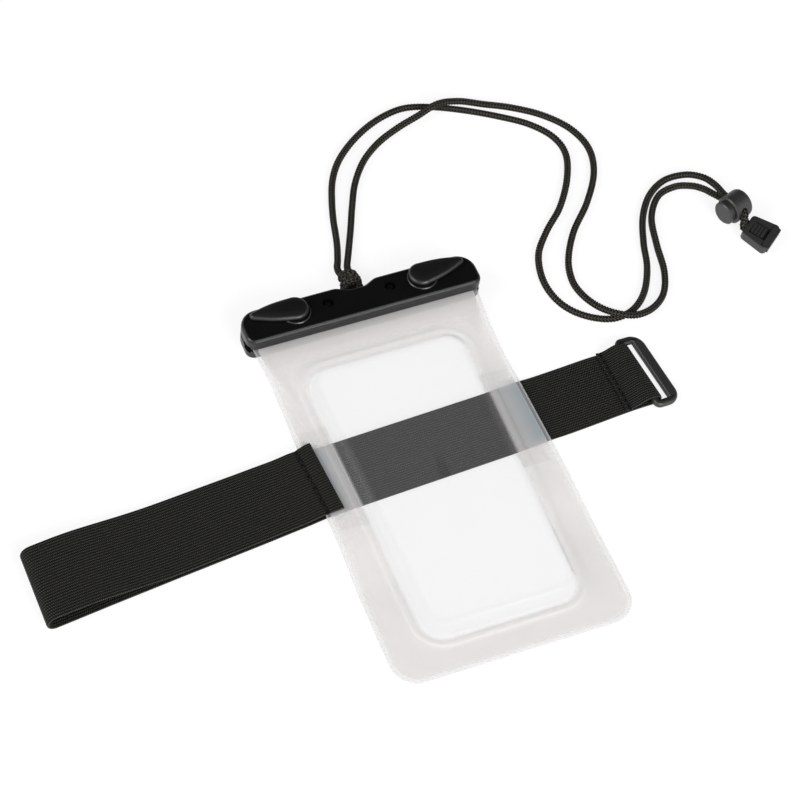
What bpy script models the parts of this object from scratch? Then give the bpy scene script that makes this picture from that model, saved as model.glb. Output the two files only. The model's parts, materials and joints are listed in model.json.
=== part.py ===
"""Waterproof armband pouch, lying flat on a table.

A rigid clamp of two bars with two turning levers closes the mouth of a pouch
of two clear films.  The front film is drawn up into a tray.  An elastic
armband passes through two welded keepers behind the pouch and carries a ring.
A doubled cord hangs from the clamp and ends in a cord lock and an end clip.

The origin is the centre of the clamp's flat underside.  +X runs along the
clamp, +Y points away from the pouch and +Z points up from the table.
"""

import math

import bmesh
import bpy
from mathutils import Matrix, Vector

MM = 0.001
FIT = 0.3 * MM
HAIR = 0.02 * MM
MERGE = 0.003 * MM

# Films
FILM_THICKNESS = 0.4 * MM
FILM_HALF_WIDTH = 60.7 * MM
FILM_BOTTOM_Y = -205.7 * MM
FILM_TOP_Y = -2.4 * MM
FILM_CORNER = 13.0 * MM
WELD_WIDTH = 4.5 * MM
MOUTH_SLOPE_END_Y = -52.0 * MM
STRAP_SLOPE_START_Y = -124.0 * MM
STRAP_SLOPE_END_Y = -156.0 * MM

# Half width of the films along the pouch: place and half width, in millimetres
FILM_WAIST = (
    (-180.0, 60.7), (-150.0, 60.3), (-125.0, 59.7), (-105.0, 59.5),
    (-65.0, 58.6), (-50.0, 58.0), (-27.0, 58.0), (-9.7, 59.4),
)

# Tray drawn into the front film
TRAY_TOP_Y = -30.0 * MM
TRAY_BOTTOM_Y = -187.5 * MM
TRAY_HALF_TOP = 41.8 * MM
TRAY_HALF_BOTTOM = 39.3 * MM
TRAY_CORNER = 11.0 * MM
TRAY_WALL_RUN = 3.4 * MM
TRAY_HEIGHT = 10.0 * MM
TRAY_EDGE = 1.2 * MM
PLINTH_RUN = 5.0 * MM
PLINTH_RISE = 0.7 * MM
BACK_FILM_INSETS = (-PLINTH_RUN, 0.0, 12.0 * MM, 24.0 * MM, 34.0 * MM)

# Clamp bars
CLAMP_LENGTH = 124.0 * MM
CLAMP_DEPTH = 19.4 * MM
CLAMP_BACK_CORNER = 9.5 * MM
CLAMP_FRONT_CORNER = 4.5 * MM
REAR_BAR_HEIGHT = 5.6 * MM
FRONT_BAR_HEIGHT = 6.4 * MM
FRONT_BAR_ROUND = 1.8 * MM
REAR_BAR_ROUND = 1.2 * MM
NOTCH_HALF_WIDTH = 10.5 * MM
NOTCH_DEPTH = 3.0 * MM
PRY_NOTCH_SIZE = 5.0 * MM
PRY_NOTCH_DEPTH = 1.4 * MM

# Seal strips
SEAL_WIDTH = 3.8 * MM
SEAL_THICKNESS = 0.9 * MM
SEAL_HALF_LENGTH = 56.5 * MM
SEAL_Y = -6.0 * MM

# Locating pegs of the rear bar
PEG_X = 16.5 * MM
PEG_Y = 1.8 * MM
PEG_RADIUS = 1.9 * MM
PEG_HOLE_RADIUS = 2.8 * MM
PEG_DROP = 1.3 * MM

# Levers
LEVER_X = 33.6 * MM
LEVER_Y = 2.6 * MM
LEVER_HUB_RADIUS = 6.8 * MM
LEVER_TIP_RADIUS = 2.4 * MM
LEVER_TIP_X = 20.6 * MM
LEVER_TIP_Y = 1.9 * MM
LEVER_THICKNESS = 2.7 * MM
LEVER_ROUND = 1.7 * MM
POST_RADIUS = 2.0 * MM
SPIGOT_RADIUS = 1.2 * MM
BOSS_RADIUS = 7.6 * MM
BOSS_HEIGHT = 0.5 * MM
BOSS_SHIFT = 1.0 * MM
FOOT_LENGTH = 9.4 * MM
FOOT_WIDTH = 4.0 * MM
FOOT_THICKNESS = 1.9 * MM
FOOT_RECESS = 0.5 * MM

# Armband
STRAP_THICKNESS = 1.5 * MM
STRAP_ANGLE = math.radians(2.6)
STRAP_CENTRE_Y = -86.75 * MM
STRAP_TAIL_U = 101.8 * MM
STRAP_FOLD_U = -202.5 * MM
STRAP_HEM_U = -51.2 * MM
HEM_CLIMB_U = -72.0 * MM
HEM_FLARE_U = -62.0 * MM
HEM_SHIFT = 1.1 * MM
HEM_FLARE = 1.8 * MM
FOLD_RADIUS = 4.25 * MM
FOLD_SLOPE_U = (-191.0 * MM, -130.0 * MM)
PATCH_THICKNESS = 0.9 * MM
PATCH_MARGIN = 3.0 * MM
HOOK_PATCH_U = (-98.0 * MM, -67.0 * MM)
LOOP_PATCH_U = (-164.0 * MM, -102.0 * MM)

# How the elastic lies, in millimetres: place along it, shift to its side,
# lean of the line across it, and width
STRAP_LAY = (
    (-202.0, -5.5, 0.045, 40.5), (-190.0, -4.95, 0.02, 40.5), (-175.0, -4.1, -0.03, 40.4),
    (-135.0, -2.24, -0.04, 40.0), (-94.0, -0.95, -0.035, 39.2), (-62.0, 0.3, -0.02, 38.4),
    (-38.0, 0.0, 0.0, 37.8), (38.0, 0.0, -0.01, 37.4), (64.0, 0.8, -0.02, 37.0),
    (80.0, 1.05, -0.025, 36.8), (97.0, 1.5, 0.0, 36.6), (103.0, 1.5, 0.05, 36.6),
    (110.5, 1.1, -0.052, 36.2), (120.0, 0.6, -0.052, 36.0),
)

# Strap keepers
KEEPER_X = 48.0 * MM
KEEPER_WIDTH = 14.0 * MM
KEEPER_TAB = 5.0 * MM
KEEPER_RUN = 3.0 * MM
KEEPER_SIDE_GAP = 1.6 * MM

# Strap ring
RING_BAR_U = 115.7 * MM
RING_SHIFT = 0.6 * MM
RING_TURN = math.radians(3.0)
RING_BAR_WIDTH = 3.4 * MM
RING_THICKNESS = 3.4 * MM
RING_SLOT = 5.9 * MM
RING_SLOT_CORNER = 0.8 * MM
RING_OUTER_BAR = 5.9 * MM
RING_ARM = 3.1 * MM
RING_SIDE_GAP = 0.8 * MM
RING_ROUND = 1.3 * MM
RING_CORNER = 7.0 * MM
RING_BAR_CORNER = 3.5 * MM
LOOP_SLACK = 0.3 * MM
LOOP_GAP = 0.4 * MM

# Lanyard
CORD_DIAMETER = 3.5 * MM
CORD_STEP = 8.0 * MM
LANYARD_X = 0.6 * MM
BIGHT_PIN_RADIUS = 1.7 * MM
BIGHT_PIN_Y = 4.2 * MM
BIGHT_Z = 7.0 * MM
KNOT_Y = 16.0 * MM
KNOT_SIZE = (6.2 * MM, 6.2 * MM, 5.9 * MM)

# Routes of the two cord strands, in millimetres, from the knot to the lock
CORD_A_ROUTE = (
    (-1.6, 22.7, 5.5), (-0.7, 28.2, 2.9), (1.7, 33.5, 1.78), (5.3, 43.9, 1.77),
    (9.0, 58.3, 1.77), (13.1, 71.0, 1.77), (18.0, 82.5, 1.77), (25.0, 92.8, 1.77),
    (35.5, 102.3, 1.77), (47.5, 109.8, 1.77), (59.9, 114.6, 1.77), (72.0, 116.0, 1.77),
    (85.4, 112.3, 1.77), (101.3, 104.6, 1.77), (116.5, 95.3, 1.77), (129.5, 85.5, 1.77),
    (138.2, 73.5, 1.77), (139.7, 60.5, 1.77), (133.4, 45.0, 1.77), (122.5, 29.3, 1.77),
    (109.7, 17.0, 1.77), (100.0, 5.0, 1.77), (95.5, -9.5, 1.77), (96.2, -22.5, 1.77),
    (101.0, -33.0, 1.77), (109.8, -41.0, 1.77), (120.2, -44.9, 1.77), (131.3, -42.7, 1.77),
    (141.2, -34.3, 1.77), (149.2, -20.3, 1.77), (154.0, -5.5, 1.77), (160.8, 10.0, 1.77),
    (170.0, 21.8, 1.77), (181.5, 28.4, 1.9), (193.0, 27.6, 3.0), (199.8, 21.3, 5.6),
    (202.2, 13.0, 8.4),
)
CORD_B_ROUTE = (
    (2.9, 22.7, 5.5), (4.6, 28.0, 2.8), (8.5, 36.0, 1.78), (15.1, 49.8, 1.77),
    (21.3, 63.4, 1.77), (28.0, 76.6, 1.77), (37.5, 89.0, 1.77), (49.5, 98.3, 1.77),
    (63.0, 104.4, 2.1), (75.5, 107.4, 4.0), (87.5, 110.3, 5.75), (99.5, 110.0, 3.9),
    (111.8, 105.6, 2.0), (125.2, 98.9, 1.77), (139.0, 88.8, 1.77), (149.2, 75.6, 1.77),
    (152.8, 60.5, 1.77), (148.5, 44.5, 1.77), (137.1, 27.7, 1.77), (122.5, 12.0, 1.77),
    (112.8, -3.5, 1.77), (109.3, -16.0, 1.8), (110.2, -26.5, 2.5), (113.9, -37.0, 4.4),
    (120.6, -45.0, 5.8), (130.3, -48.2, 4.5), (141.2, -45.2, 2.2), (150.2, -38.2, 1.77),
    (156.4, -25.6, 1.77), (160.0, -8.5, 1.77), (164.9, 8.2, 1.77), (174.0, 19.8, 1.77),
    (184.5, 22.5, 2.3), (192.6, 19.4, 3.6), (197.2, 14.6, 4.9), (199.8, 10.0, 5.7),
)

# Cord lock, a barrel that lies on its side
LOCK_RIM = (201.65 * MM, -4.3 * MM)
LOCK_ANGLE = math.radians(18.0)
LOCK_RADIUS = 7.6 * MM
LOCK_LENGTH = 11.4 * MM
LOCK_BORE = 5.8 * MM
LOCK_END_WALL = 1.0 * MM
LOCK_CORD_EXIT = 6.5 * MM
TAIL_LEAD = 0.8 * MM
LOCK_CORD_OFFSET = 4.4 * MM
LOCK_HOLE_WIDTH = 4.3 * MM
LOCK_HOLE_HEIGHT = 9.4 * MM
STRAND_PITCH = 4.05 * MM
TAIL_BULGE = 0.16
PLUNGER_TRAVEL = 2.0 * MM
PLUNGER_TIP = 0.8 * MM
BUTTON_RADIUS = 6.2 * MM
BUTTON_THICKNESS = 1.5 * MM
SPRING_WIRE = 0.5 * MM
SPRING_OUTER = 5.2 * MM
SPRING_INNER = 2.4 * MM
SPRING_TURNS = 3

# End clip
CLIP_ENTRY = (207.9 * MM, -14.2 * MM)
CLIP_ANGLE = math.radians(-52.5)
CLIP_TILT = math.radians(6.0)
CLIP_LENGTH = 15.5 * MM
CLIP_NEAR_WIDTH = 13.6 * MM
CLIP_FAR_WIDTH = 18.6 * MM
CLIP_THICKNESS = 5.2 * MM
CLIP_CORNER = 2.2 * MM
CLIP_FLOOR = 1.2 * MM
CLIP_NEAR_WALL = 3.0 * MM
CLIP_END_WALL = 1.3 * MM
CLIP_CAP_LENGTH = 3.3 * MM
CLIP_CAP_PROUD = 0.8 * MM
CLIP_TONGUE_LENGTH = 7.2 * MM
CLIP_TONGUE_WIDTH = 6.4 * MM
CLIP_SLOT = 1.3 * MM
CLIP_GROOVE = 0.5 * MM
CLIP_SOCKET_DEPTH = 2.0 * MM
CLIP_SOCKET_PLAY = 0.35 * MM

# Places worked out from the sizes above
REAR_BAR_TOP = REAR_BAR_HEIGHT
BACK_FILM_AT_CLAMP = REAR_BAR_TOP + FIT
FILM_STEP = FILM_THICKNESS + FIT
FRONT_BAR_BOTTOM = REAR_BAR_TOP + 2.0 * FILM_STEP + FIT
FRONT_BAR_TOP = FRONT_BAR_BOTTOM + FRONT_BAR_HEIGHT
CLAMP_HALF = CLAMP_LENGTH / 2.0
CLAMP_FRONT_Y = -CLAMP_DEPTH / 2.0
CLAMP_BACK_Y = CLAMP_DEPTH / 2.0
LEVER_BOTTOM = FRONT_BAR_TOP + BOSS_HEIGHT + FIT
STRAP_UNDER_POUCH = FILM_THICKNESS + FIT
BACK_FILM_OVER_STRAP = STRAP_UNDER_POUCH + STRAP_THICKNESS + FIT
CORD_RADIUS = CORD_DIAMETER / 2.0
RING_BAR_Z = STRAP_THICKNESS + LOOP_GAP + RING_BAR_WIDTH / 2.0
RING_REACH = RING_BAR_WIDTH / 2.0 + RING_SLOT + RING_OUTER_BAR
RING_EDGE = RING_REACH - RING_ROUND
RING_EDGE_DROP = RING_THICKNESS / 2.0 - RING_ROUND
RING_TILT = (
    math.asin((RING_BAR_Z - RING_ROUND - HAIR) / math.hypot(RING_EDGE, RING_EDGE_DROP))
    - math.atan(RING_EDGE_DROP / RING_EDGE)
)
LOOP_RADIUS = RING_BAR_WIDTH / 2.0 + LOOP_GAP + STRAP_THICKNESS / 2.0


def clear_scene():
    """Remove every object and give the part its two collections."""
    for existing in list(bpy.data.objects):
        bpy.data.objects.remove(existing, do_unlink=True)
    part = bpy.data.collections.new("armband_pouch")
    cutters = bpy.data.collections.new("cutters")
    bpy.context.scene.collection.children.link(part)
    bpy.context.scene.collection.children.link(cutters)
    return part, cutters


PART, CUTTERS = clear_scene()


def material(name, colour, roughness, metallic=0.0, alpha=1.0):
    """A Principled material with a linear base colour."""
    made = bpy.data.materials.new(name)
    made.use_nodes = True
    shader = made.node_tree.nodes["Principled BSDF"]
    shader.inputs["Base Color"].default_value = (*colour, 1.0)
    shader.inputs["Roughness"].default_value = roughness
    shader.inputs["Metallic"].default_value = metallic
    shader.inputs["Alpha"].default_value = alpha
    return made


CLAMP_BLACK = material("clamp_black_abs", (0.012, 0.012, 0.013), 0.38)
LEVER_BLACK = material("lever_black_acetal", (0.014, 0.014, 0.015), 0.34)
FILM_CLEAR = material("pouch_clear_film", (0.86, 0.86, 0.85), 0.30, alpha=0.45)
SEAL_GREY = material("seal_grey_rubber", (0.10, 0.10, 0.10), 0.70)
WEB_BLACK = material("strap_black_elastic", (0.012, 0.012, 0.011), 0.90)
PATCH_BLACK = material("patch_black_nylon", (0.018, 0.018, 0.018), 0.95)
CORD_BLACK = material("cord_black_polyester", (0.010, 0.010, 0.009), 0.80)
FITTING_BLACK = material("fitting_black_nylon", (0.016, 0.016, 0.016), 0.42)
SPRING_STEEL = material("spring_steel", (0.55, 0.55, 0.55), 0.30, metallic=1.0)


def frame_empty(name, matrix):
    """An empty that carries the pieces modelled in its frame."""
    empty = bpy.data.objects.new(name, None)
    empty.empty_display_size = 0.01
    empty.matrix_world = matrix
    PART.objects.link(empty)
    return empty


def place(obj, name, finish, parent=None):
    """Name a finished object, give it its material and hang it on its frame."""
    obj.name = name
    obj.data.name = name
    obj.data.materials.clear()
    obj.data.materials.append(finish)
    obj.data.shade_smooth()
    obj.data.set_sharp_from_angle(angle=math.radians(32.0))
    obj.parent = parent
    return obj


def link_mesh(mesh, collection=None):
    """Put a mesh in the scene as a new object."""
    obj = bpy.data.objects.new(mesh.name, mesh)
    (collection or PART).objects.link(obj)
    return obj


def from_bmesh(work, name="piece"):
    """Turn a bmesh into an object whose faces point outward."""
    bmesh.ops.remove_doubles(work, verts=work.verts, dist=MERGE)
    bmesh.ops.recalc_face_normals(work, faces=work.faces)
    mesh = bpy.data.meshes.new(name)
    work.to_mesh(mesh)
    work.free()
    return link_mesh(mesh)


def to_mesh(obj):
    """Replace a curve, or an object with modifiers, by its evaluated mesh."""
    bpy.context.view_layer.update()
    evaluated = obj.evaluated_get(bpy.context.evaluated_depsgraph_get())
    mesh = bpy.data.meshes.new_from_object(evaluated)
    work = bmesh.new()
    work.from_mesh(mesh)
    bmesh.ops.remove_doubles(work, verts=work.verts, dist=MERGE)
    bmesh.ops.recalc_face_normals(work, faces=work.faces)
    work.to_mesh(mesh)
    work.free()
    made = link_mesh(mesh)
    made.matrix_world = obj.matrix_world.copy()
    bpy.data.objects.remove(obj, do_unlink=True)
    return made


def combine(target, tool, operation):
    """Apply one exact Boolean with a tool that is then dropped."""
    tool.hide_render = True
    tool.display_type = "WIRE"
    PART.objects.unlink(tool)
    CUTTERS.objects.link(tool)
    change = target.modifiers.new(operation.lower(), "BOOLEAN")
    change.operation = operation
    change.solver = "EXACT"
    change.object = tool
    made = to_mesh(target)
    bpy.data.objects.remove(tool, do_unlink=True)
    return made


def cut(target, *tools):
    """Take each tool's shape out of the target."""
    for tool in tools:
        target = combine(target, tool, "DIFFERENCE")
    return target


def join(target, *tools):
    """Add each tool's shape to the target."""
    for tool in tools:
        target = combine(target, tool, "UNION")
    return target


def rounded(corners, steps=5):
    """Outline of a polygon with round corners: ((x, y), radius) for each."""
    points = []
    count = len(corners)
    for index, (corner, radius) in enumerate(corners):
        here = Vector(corner)
        before = (Vector(corners[index - 1][0]) - here).normalized()
        after = (Vector(corners[(index + 1) % count][0]) - here).normalized()
        half = before.angle(after) / 2.0
        centre = here + (before + after).normalized() * (radius / math.sin(half))
        start = here + before * (radius / math.tan(half)) - centre
        end = here + after * (radius / math.tan(half)) - centre
        turn = start.angle_signed(end)
        for step in range(steps + 1):
            spoke = start.copy()
            spoke.rotate(Matrix.Rotation(-turn * step / steps, 2))
            points.append(centre + spoke)
    return points


def box_outline(x_low, x_high, y_low, y_high, radius, steps=4):
    """A rounded rectangle."""
    corners = ((x_low, y_low), (x_high, y_low), (x_high, y_high), (x_low, y_high))
    return rounded([(corner, radius) for corner in corners], steps)


def stadium(length, width, centre=(0.0, 0.0), steps=6):
    """A slot outline with round ends, along X."""
    x, y = centre
    half, radius = length / 2.0, width / 2.0
    ends = ((half - radius, -90.0), (radius - half, 90.0))
    points = []
    for offset, first in ends:
        for step in range(steps + 1):
            angle = math.radians(first + 180.0 * step / steps)
            points.append((x + offset + radius * math.cos(angle), y + radius * math.sin(angle)))
    return points


def plate(outlines, bottom, top):
    """A flat piece between two heights, from an outline and its holes."""
    curve = bpy.data.curves.new("plate", "CURVE")
    curve.dimensions = "2D"
    curve.fill_mode = "BOTH"
    curve.extrude = (top - bottom) / 2.0
    for outline in outlines:
        spline = curve.splines.new("POLY")
        spline.points.add(len(outline) - 1)
        for point, (x, y) in zip(spline.points, outline):
            point.co = (x, y, 0.0, 1.0)
        spline.use_cyclic_u = True
    obj = bpy.data.objects.new("plate", curve)
    obj.location.z = (top + bottom) / 2.0
    PART.objects.link(obj)
    made = to_mesh(obj)
    made.data.transform(made.matrix_world)
    made.matrix_world = Matrix.Identity(4)
    return made


def soften(obj, width, segments=3, z_above=None, z_below=None):
    """Round the sharp edges of a plate, all or only above or below a height."""
    work = bmesh.new()
    work.from_mesh(obj.data)
    chosen = []
    for edge in work.edges:
        if len(edge.link_faces) != 2 or edge.calc_face_angle() < math.radians(50.0):
            continue
        heights = [vert.co.z for vert in edge.verts]
        if z_above is not None and min(heights) < z_above:
            continue
        if z_below is not None and max(heights) > z_below:
            continue
        chosen.append(edge)
    bmesh.ops.bevel(
        work,
        geom=chosen,
        offset=width,
        segments=segments,
        profile=0.5,
        affect="EDGES",
        clamp_overlap=False,
    )
    bmesh.ops.remove_doubles(work, verts=work.verts, dist=MERGE)
    work.to_mesh(obj.data)
    work.free()
    return obj


def turned(profile, steps=24):
    """A solid of revolution about Z from (radius, z) points, top to bottom."""
    mesh = bpy.data.meshes.new("turned")
    points = [(radius, 0.0, z) for radius, z in profile]
    mesh.from_pydata(points, [(i, i + 1) for i in range(len(points) - 1)], [])
    obj = link_mesh(mesh)
    screw = obj.modifiers.new("turn", "SCREW")
    screw.steps = steps
    screw.render_steps = steps
    screw.use_merge_vertices = True
    screw.merge_threshold = MERGE
    return to_mesh(obj)


def disc(radius, bottom, top, centre=(0.0, 0.0), steps=24):
    """A plain round bar that stands on end."""
    made = turned([(0.0, top), (radius, top), (radius, bottom), (0.0, bottom)], steps)
    made.data.transform(Matrix.Translation((*centre, 0.0)))
    return made


def tube(points, radius, resolution=2):
    """A round tube along points, with flat closed ends."""
    curve = bpy.data.curves.new("tube", "CURVE")
    curve.dimensions = "3D"
    curve.bevel_depth = radius
    curve.bevel_resolution = resolution
    curve.use_fill_caps = True
    spline = curve.splines.new("POLY")
    spline.points.add(len(points) - 1)
    for point, place_at in zip(spline.points, points):
        point.co = (*place_at, 1.0)
    obj = bpy.data.objects.new("tube", curve)
    PART.objects.link(obj)
    return to_mesh(obj)


def smooth_route(points, step):
    """Evenly spaced points on the smooth curve through a route's own points."""
    ends = [points[0] * 2.0 - points[1], *points, points[-1] * 2.0 - points[-2]]
    fine = []
    for before, start, end, after in zip(ends, ends[1:], ends[2:], ends[3:]):
        for index in range(20):
            t = index / 20.0
            fine.append(0.5 * (2.0 * start + (end - before) * t
                               + (2.0 * before - 5.0 * start + 4.0 * end - after) * t ** 2
                               + (3.0 * start - before - 3.0 * end + after) * t ** 3))
    fine.append(points[-1])
    total = sum((b - a).length for a, b in zip(fine, fine[1:]))
    count = max(2, round(total / step))
    spaced, walked, target = [fine[0]], 0.0, total / count
    for a, b in zip(fine, fine[1:]):
        length = (b - a).length
        while walked + length >= target and len(spaced) < count:
            spaced.append(a.lerp(b, (target - walked) / length))
            target += total / count
        walked += length
    return [*spaced, fine[-1]]


def ease(value):
    """Smooth step from 0 to 1."""
    held = min(1.0, max(0.0, value))
    return held * held * (3.0 - 2.0 * held)


def along_table(rows, place):
    """Values at a place, read from rows in millimetres whose first value is the place."""
    where = min(rows[-1][0], max(rows[0][0], place / MM))
    index = max(1, next(i for i, row in enumerate(rows) if row[0] >= where))
    low, high = rows[index - 1], rows[index]
    share = (where - low[0]) / (high[0] - low[0])
    return [a + (b - a) * share for a, b in zip(low[1:], high[1:])]


def back_film_height(y):
    """Height of the back film's underside along the pouch."""
    from_mouth = ease((CLAMP_FRONT_Y - y) / (CLAMP_FRONT_Y - MOUTH_SLOPE_END_Y))
    to_table = ease((STRAP_SLOPE_START_Y - y) / (STRAP_SLOPE_START_Y - STRAP_SLOPE_END_Y))
    height = BACK_FILM_AT_CLAMP + (BACK_FILM_OVER_STRAP - BACK_FILM_AT_CLAMP) * from_mouth
    return height * (1.0 - to_table)


def film_half_width(y):
    """Half width of the films, drawn in a little below the clamp."""
    return along_table(FILM_WAIST, y)[0] * MM


def drawn_in(ring):
    """A ring of the films' edge, its width following the waist."""
    return [(x * film_half_width(y) / FILM_HALF_WIDTH, y) for x, y in ring]


SIDE_SHARES = (0.05, 0.10, 0.16, 0.23, 0.33, 0.46, 0.58, 0.68, 0.82)
END_SHARES = (0.25, 0.5, 0.75)


def film_ring(half_top, half_bottom, y_top, y_bottom, corner_top, corner_bottom):
    """Points of one ring of a film in plan, all rings with the same count."""
    corners = [
        ((-half_top, y_top), corner_top),
        ((-half_bottom, y_bottom), corner_bottom),
        ((half_bottom, y_bottom), corner_bottom),
        ((half_top, y_top), corner_top),
    ]
    arcs = rounded(corners)
    per_corner = len(arcs) // 4
    points = []
    for index in range(4):
        arc = arcs[index * per_corner:(index + 1) * per_corner]
        points.extend(arc)
        start, end = arc[-1], arcs[((index + 1) % 4) * per_corner]
        shares = END_SHARES if index % 2 else SIDE_SHARES
        if index == 2:
            shares = [1.0 - share for share in reversed(SIDE_SHARES)]
        points.extend(start.lerp(end, share) for share in shares)
    return points


def fill_across(work, ring):
    """Fill a film ring with faces that run straight across it."""
    ends = len(END_SHARES)
    side = len(ring) // 2 - ends
    left, right = ring[:side], ring[side + ends:-ends][::-1]
    for index in range(side - 1):
        low = ring[side:side + ends] if index == side - 2 else []
        high = ring[-ends:] if index == 0 else []
        work.faces.new((*left[index:index + 2], *low, right[index + 1], right[index], *high))


def film_from_rings(rings):
    """Loft rings of 3-D points inward, fill the last one and thicken upward."""
    work = bmesh.new()
    loops = [[work.verts.new(point) for point in ring] for ring in rings]
    count = len(loops[0])
    for outer, inner in zip(loops, loops[1:]):
        for index in range(count):
            after = (index + 1) % count
            work.faces.new((outer[index], outer[after], inner[after], inner[index]))
    fill_across(work, loops[-1])
    bmesh.ops.recalc_face_normals(work, faces=work.faces)
    if sum(face.normal.z * face.calc_area() for face in work.faces) < 0.0:
        bmesh.ops.reverse_faces(work, faces=work.faces)
    mesh = bpy.data.meshes.new("film")
    work.to_mesh(mesh)
    work.free()
    obj = link_mesh(mesh)
    shell = obj.modifiers.new("film", "SOLIDIFY")
    shell.thickness = FILM_THICKNESS
    shell.offset = 1.0
    shell.use_even_offset = True
    return to_mesh(obj)


def outer_rings():
    """The film's edge ring and the ring at the inside of the weld."""
    edge = film_ring(
        FILM_HALF_WIDTH, FILM_HALF_WIDTH, FILM_TOP_Y, FILM_BOTTOM_Y, 1.0 * MM, FILM_CORNER
    )
    weld = film_ring(
        FILM_HALF_WIDTH - WELD_WIDTH,
        FILM_HALF_WIDTH - WELD_WIDTH,
        CLAMP_FRONT_Y,
        FILM_BOTTOM_Y + WELD_WIDTH,
        1.5 * MM,
        FILM_CORNER - WELD_WIDTH,
    )
    return drawn_in(edge), drawn_in(weld)


def at_height(ring, height):
    """Lift a plan ring to a height given as a function of y."""
    return [Vector((x, y, height(y))) for x, y in ring]


def tray_ring(inset, corner):
    """A ring of the tray, inset from its foot."""
    return film_ring(
        TRAY_HALF_TOP - inset,
        TRAY_HALF_BOTTOM - inset,
        TRAY_TOP_Y - inset,
        TRAY_BOTTOM_Y + inset,
        corner,
        corner,
    )


def tray_roof_height(y):
    """Height of the tray roof's underside, level with the table."""
    return TRAY_HEIGHT - FILM_THICKNESS


def build_front_film():
    """Front film with weld border, flange, plinth and drawn tray."""
    def flange(y):
        return back_film_height(y) + FILM_STEP

    edge, weld = outer_rings()
    rings = [at_height(edge, flange), at_height(weld, flange)]
    rings.append(at_height(tray_ring(-PLINTH_RUN, TRAY_CORNER + PLINTH_RUN), flange))
    rings.append(at_height(tray_ring(-PLINTH_RUN / 2.0, TRAY_CORNER + PLINTH_RUN / 2.0),
                           lambda y: flange(y) + PLINTH_RISE / 2.0))
    rings.append(at_height(tray_ring(0.0, TRAY_CORNER), lambda y: flange(y) + PLINTH_RISE))
    slope = TRAY_WALL_RUN - TRAY_EDGE
    for share in (0.3, 0.75):
        rings.append(at_height(
            tray_ring(slope * share, TRAY_CORNER - slope * share),
            lambda y, part=share: flange(y) + PLINTH_RISE
            + (tray_roof_height(y) - TRAY_EDGE / 2.0 - flange(y) - PLINTH_RISE) * part,
        ))
    rings.append(at_height(tray_ring(slope, TRAY_CORNER - slope),
                           lambda y: tray_roof_height(y) - TRAY_EDGE / 2.0))
    rings.append(at_height(tray_ring(TRAY_WALL_RUN, TRAY_CORNER - TRAY_WALL_RUN),
                           tray_roof_height))
    return place(film_from_rings(rings), "front_film", FILM_CLEAR)


def build_back_film():
    """Plain back film, welded to the front film round its edge."""
    edge, weld = outer_rings()
    rings = [at_height(edge, back_film_height), at_height(weld, back_film_height)]
    for inset in BACK_FILM_INSETS:
        corner = max(TRAY_CORNER - inset, 2.0 * MM)
        rings.append(at_height(tray_ring(inset, corner), back_film_height))
    return place(film_from_rings(rings), "back_film", FILM_CLEAR)


def clamp_outline():
    """Plan of both clamp bars, with the lanyard notch in the back edge."""
    notch_floor = CLAMP_BACK_Y - NOTCH_DEPTH
    shoulder = NOTCH_HALF_WIDTH
    foot = NOTCH_HALF_WIDTH * 0.4
    return rounded([
        ((-CLAMP_HALF, CLAMP_FRONT_Y), CLAMP_FRONT_CORNER),
        ((CLAMP_HALF, CLAMP_FRONT_Y), CLAMP_FRONT_CORNER),
        ((CLAMP_HALF, CLAMP_BACK_Y), CLAMP_BACK_CORNER),
        ((LANYARD_X + shoulder, CLAMP_BACK_Y), 7.0 * MM),
        ((LANYARD_X + foot, notch_floor), 7.0 * MM),
        ((LANYARD_X - foot, notch_floor), 7.0 * MM),
        ((LANYARD_X - shoulder, CLAMP_BACK_Y), 7.0 * MM),
        ((-CLAMP_HALF, CLAMP_BACK_Y), CLAMP_BACK_CORNER),
    ], 8)


def pry_notch(side):
    """Cutter for the small opening between the bars at one front corner."""
    x = side * (CLAMP_HALF - PRY_NOTCH_SIZE * 0.2)
    outline = box_outline(
        x - PRY_NOTCH_SIZE / 2.0, x + PRY_NOTCH_SIZE / 2.0,
        CLAMP_FRONT_Y + 1.2 * MM, CLAMP_FRONT_Y + 1.2 * MM + PRY_NOTCH_SIZE, 1.0 * MM,
    )
    return plate([outline], REAR_BAR_TOP - PRY_NOTCH_DEPTH, FRONT_BAR_BOTTOM + PRY_NOTCH_DEPTH)


def seal_groove(bottom, top):
    """Cutter for the groove that a seal strip lies in."""
    outline = box_outline(
        -SEAL_HALF_LENGTH - FIT, SEAL_HALF_LENGTH + FIT,
        SEAL_Y - SEAL_WIDTH / 2.0 - FIT, SEAL_Y + SEAL_WIDTH / 2.0 + FIT, 1.5 * MM,
    )
    return plate([outline], bottom, top)


def bight_pocket(bottom, top):
    """Cutter for the pocket where the cord's bight turns round its pin."""
    radius = BIGHT_PIN_RADIUS + CORD_DIAMETER + 2.0 * FIT
    back = CLAMP_BACK_Y + 1.0 * MM
    outline = [(LANYARD_X + radius, back), (LANYARD_X - radius, back)]
    for step in range(13):
        angle = math.pi + math.pi * step / 12
        outline.append((LANYARD_X + radius * math.cos(angle),
                        BIGHT_PIN_Y + radius * math.sin(angle)))
    return plate([outline], bottom, top)


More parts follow.
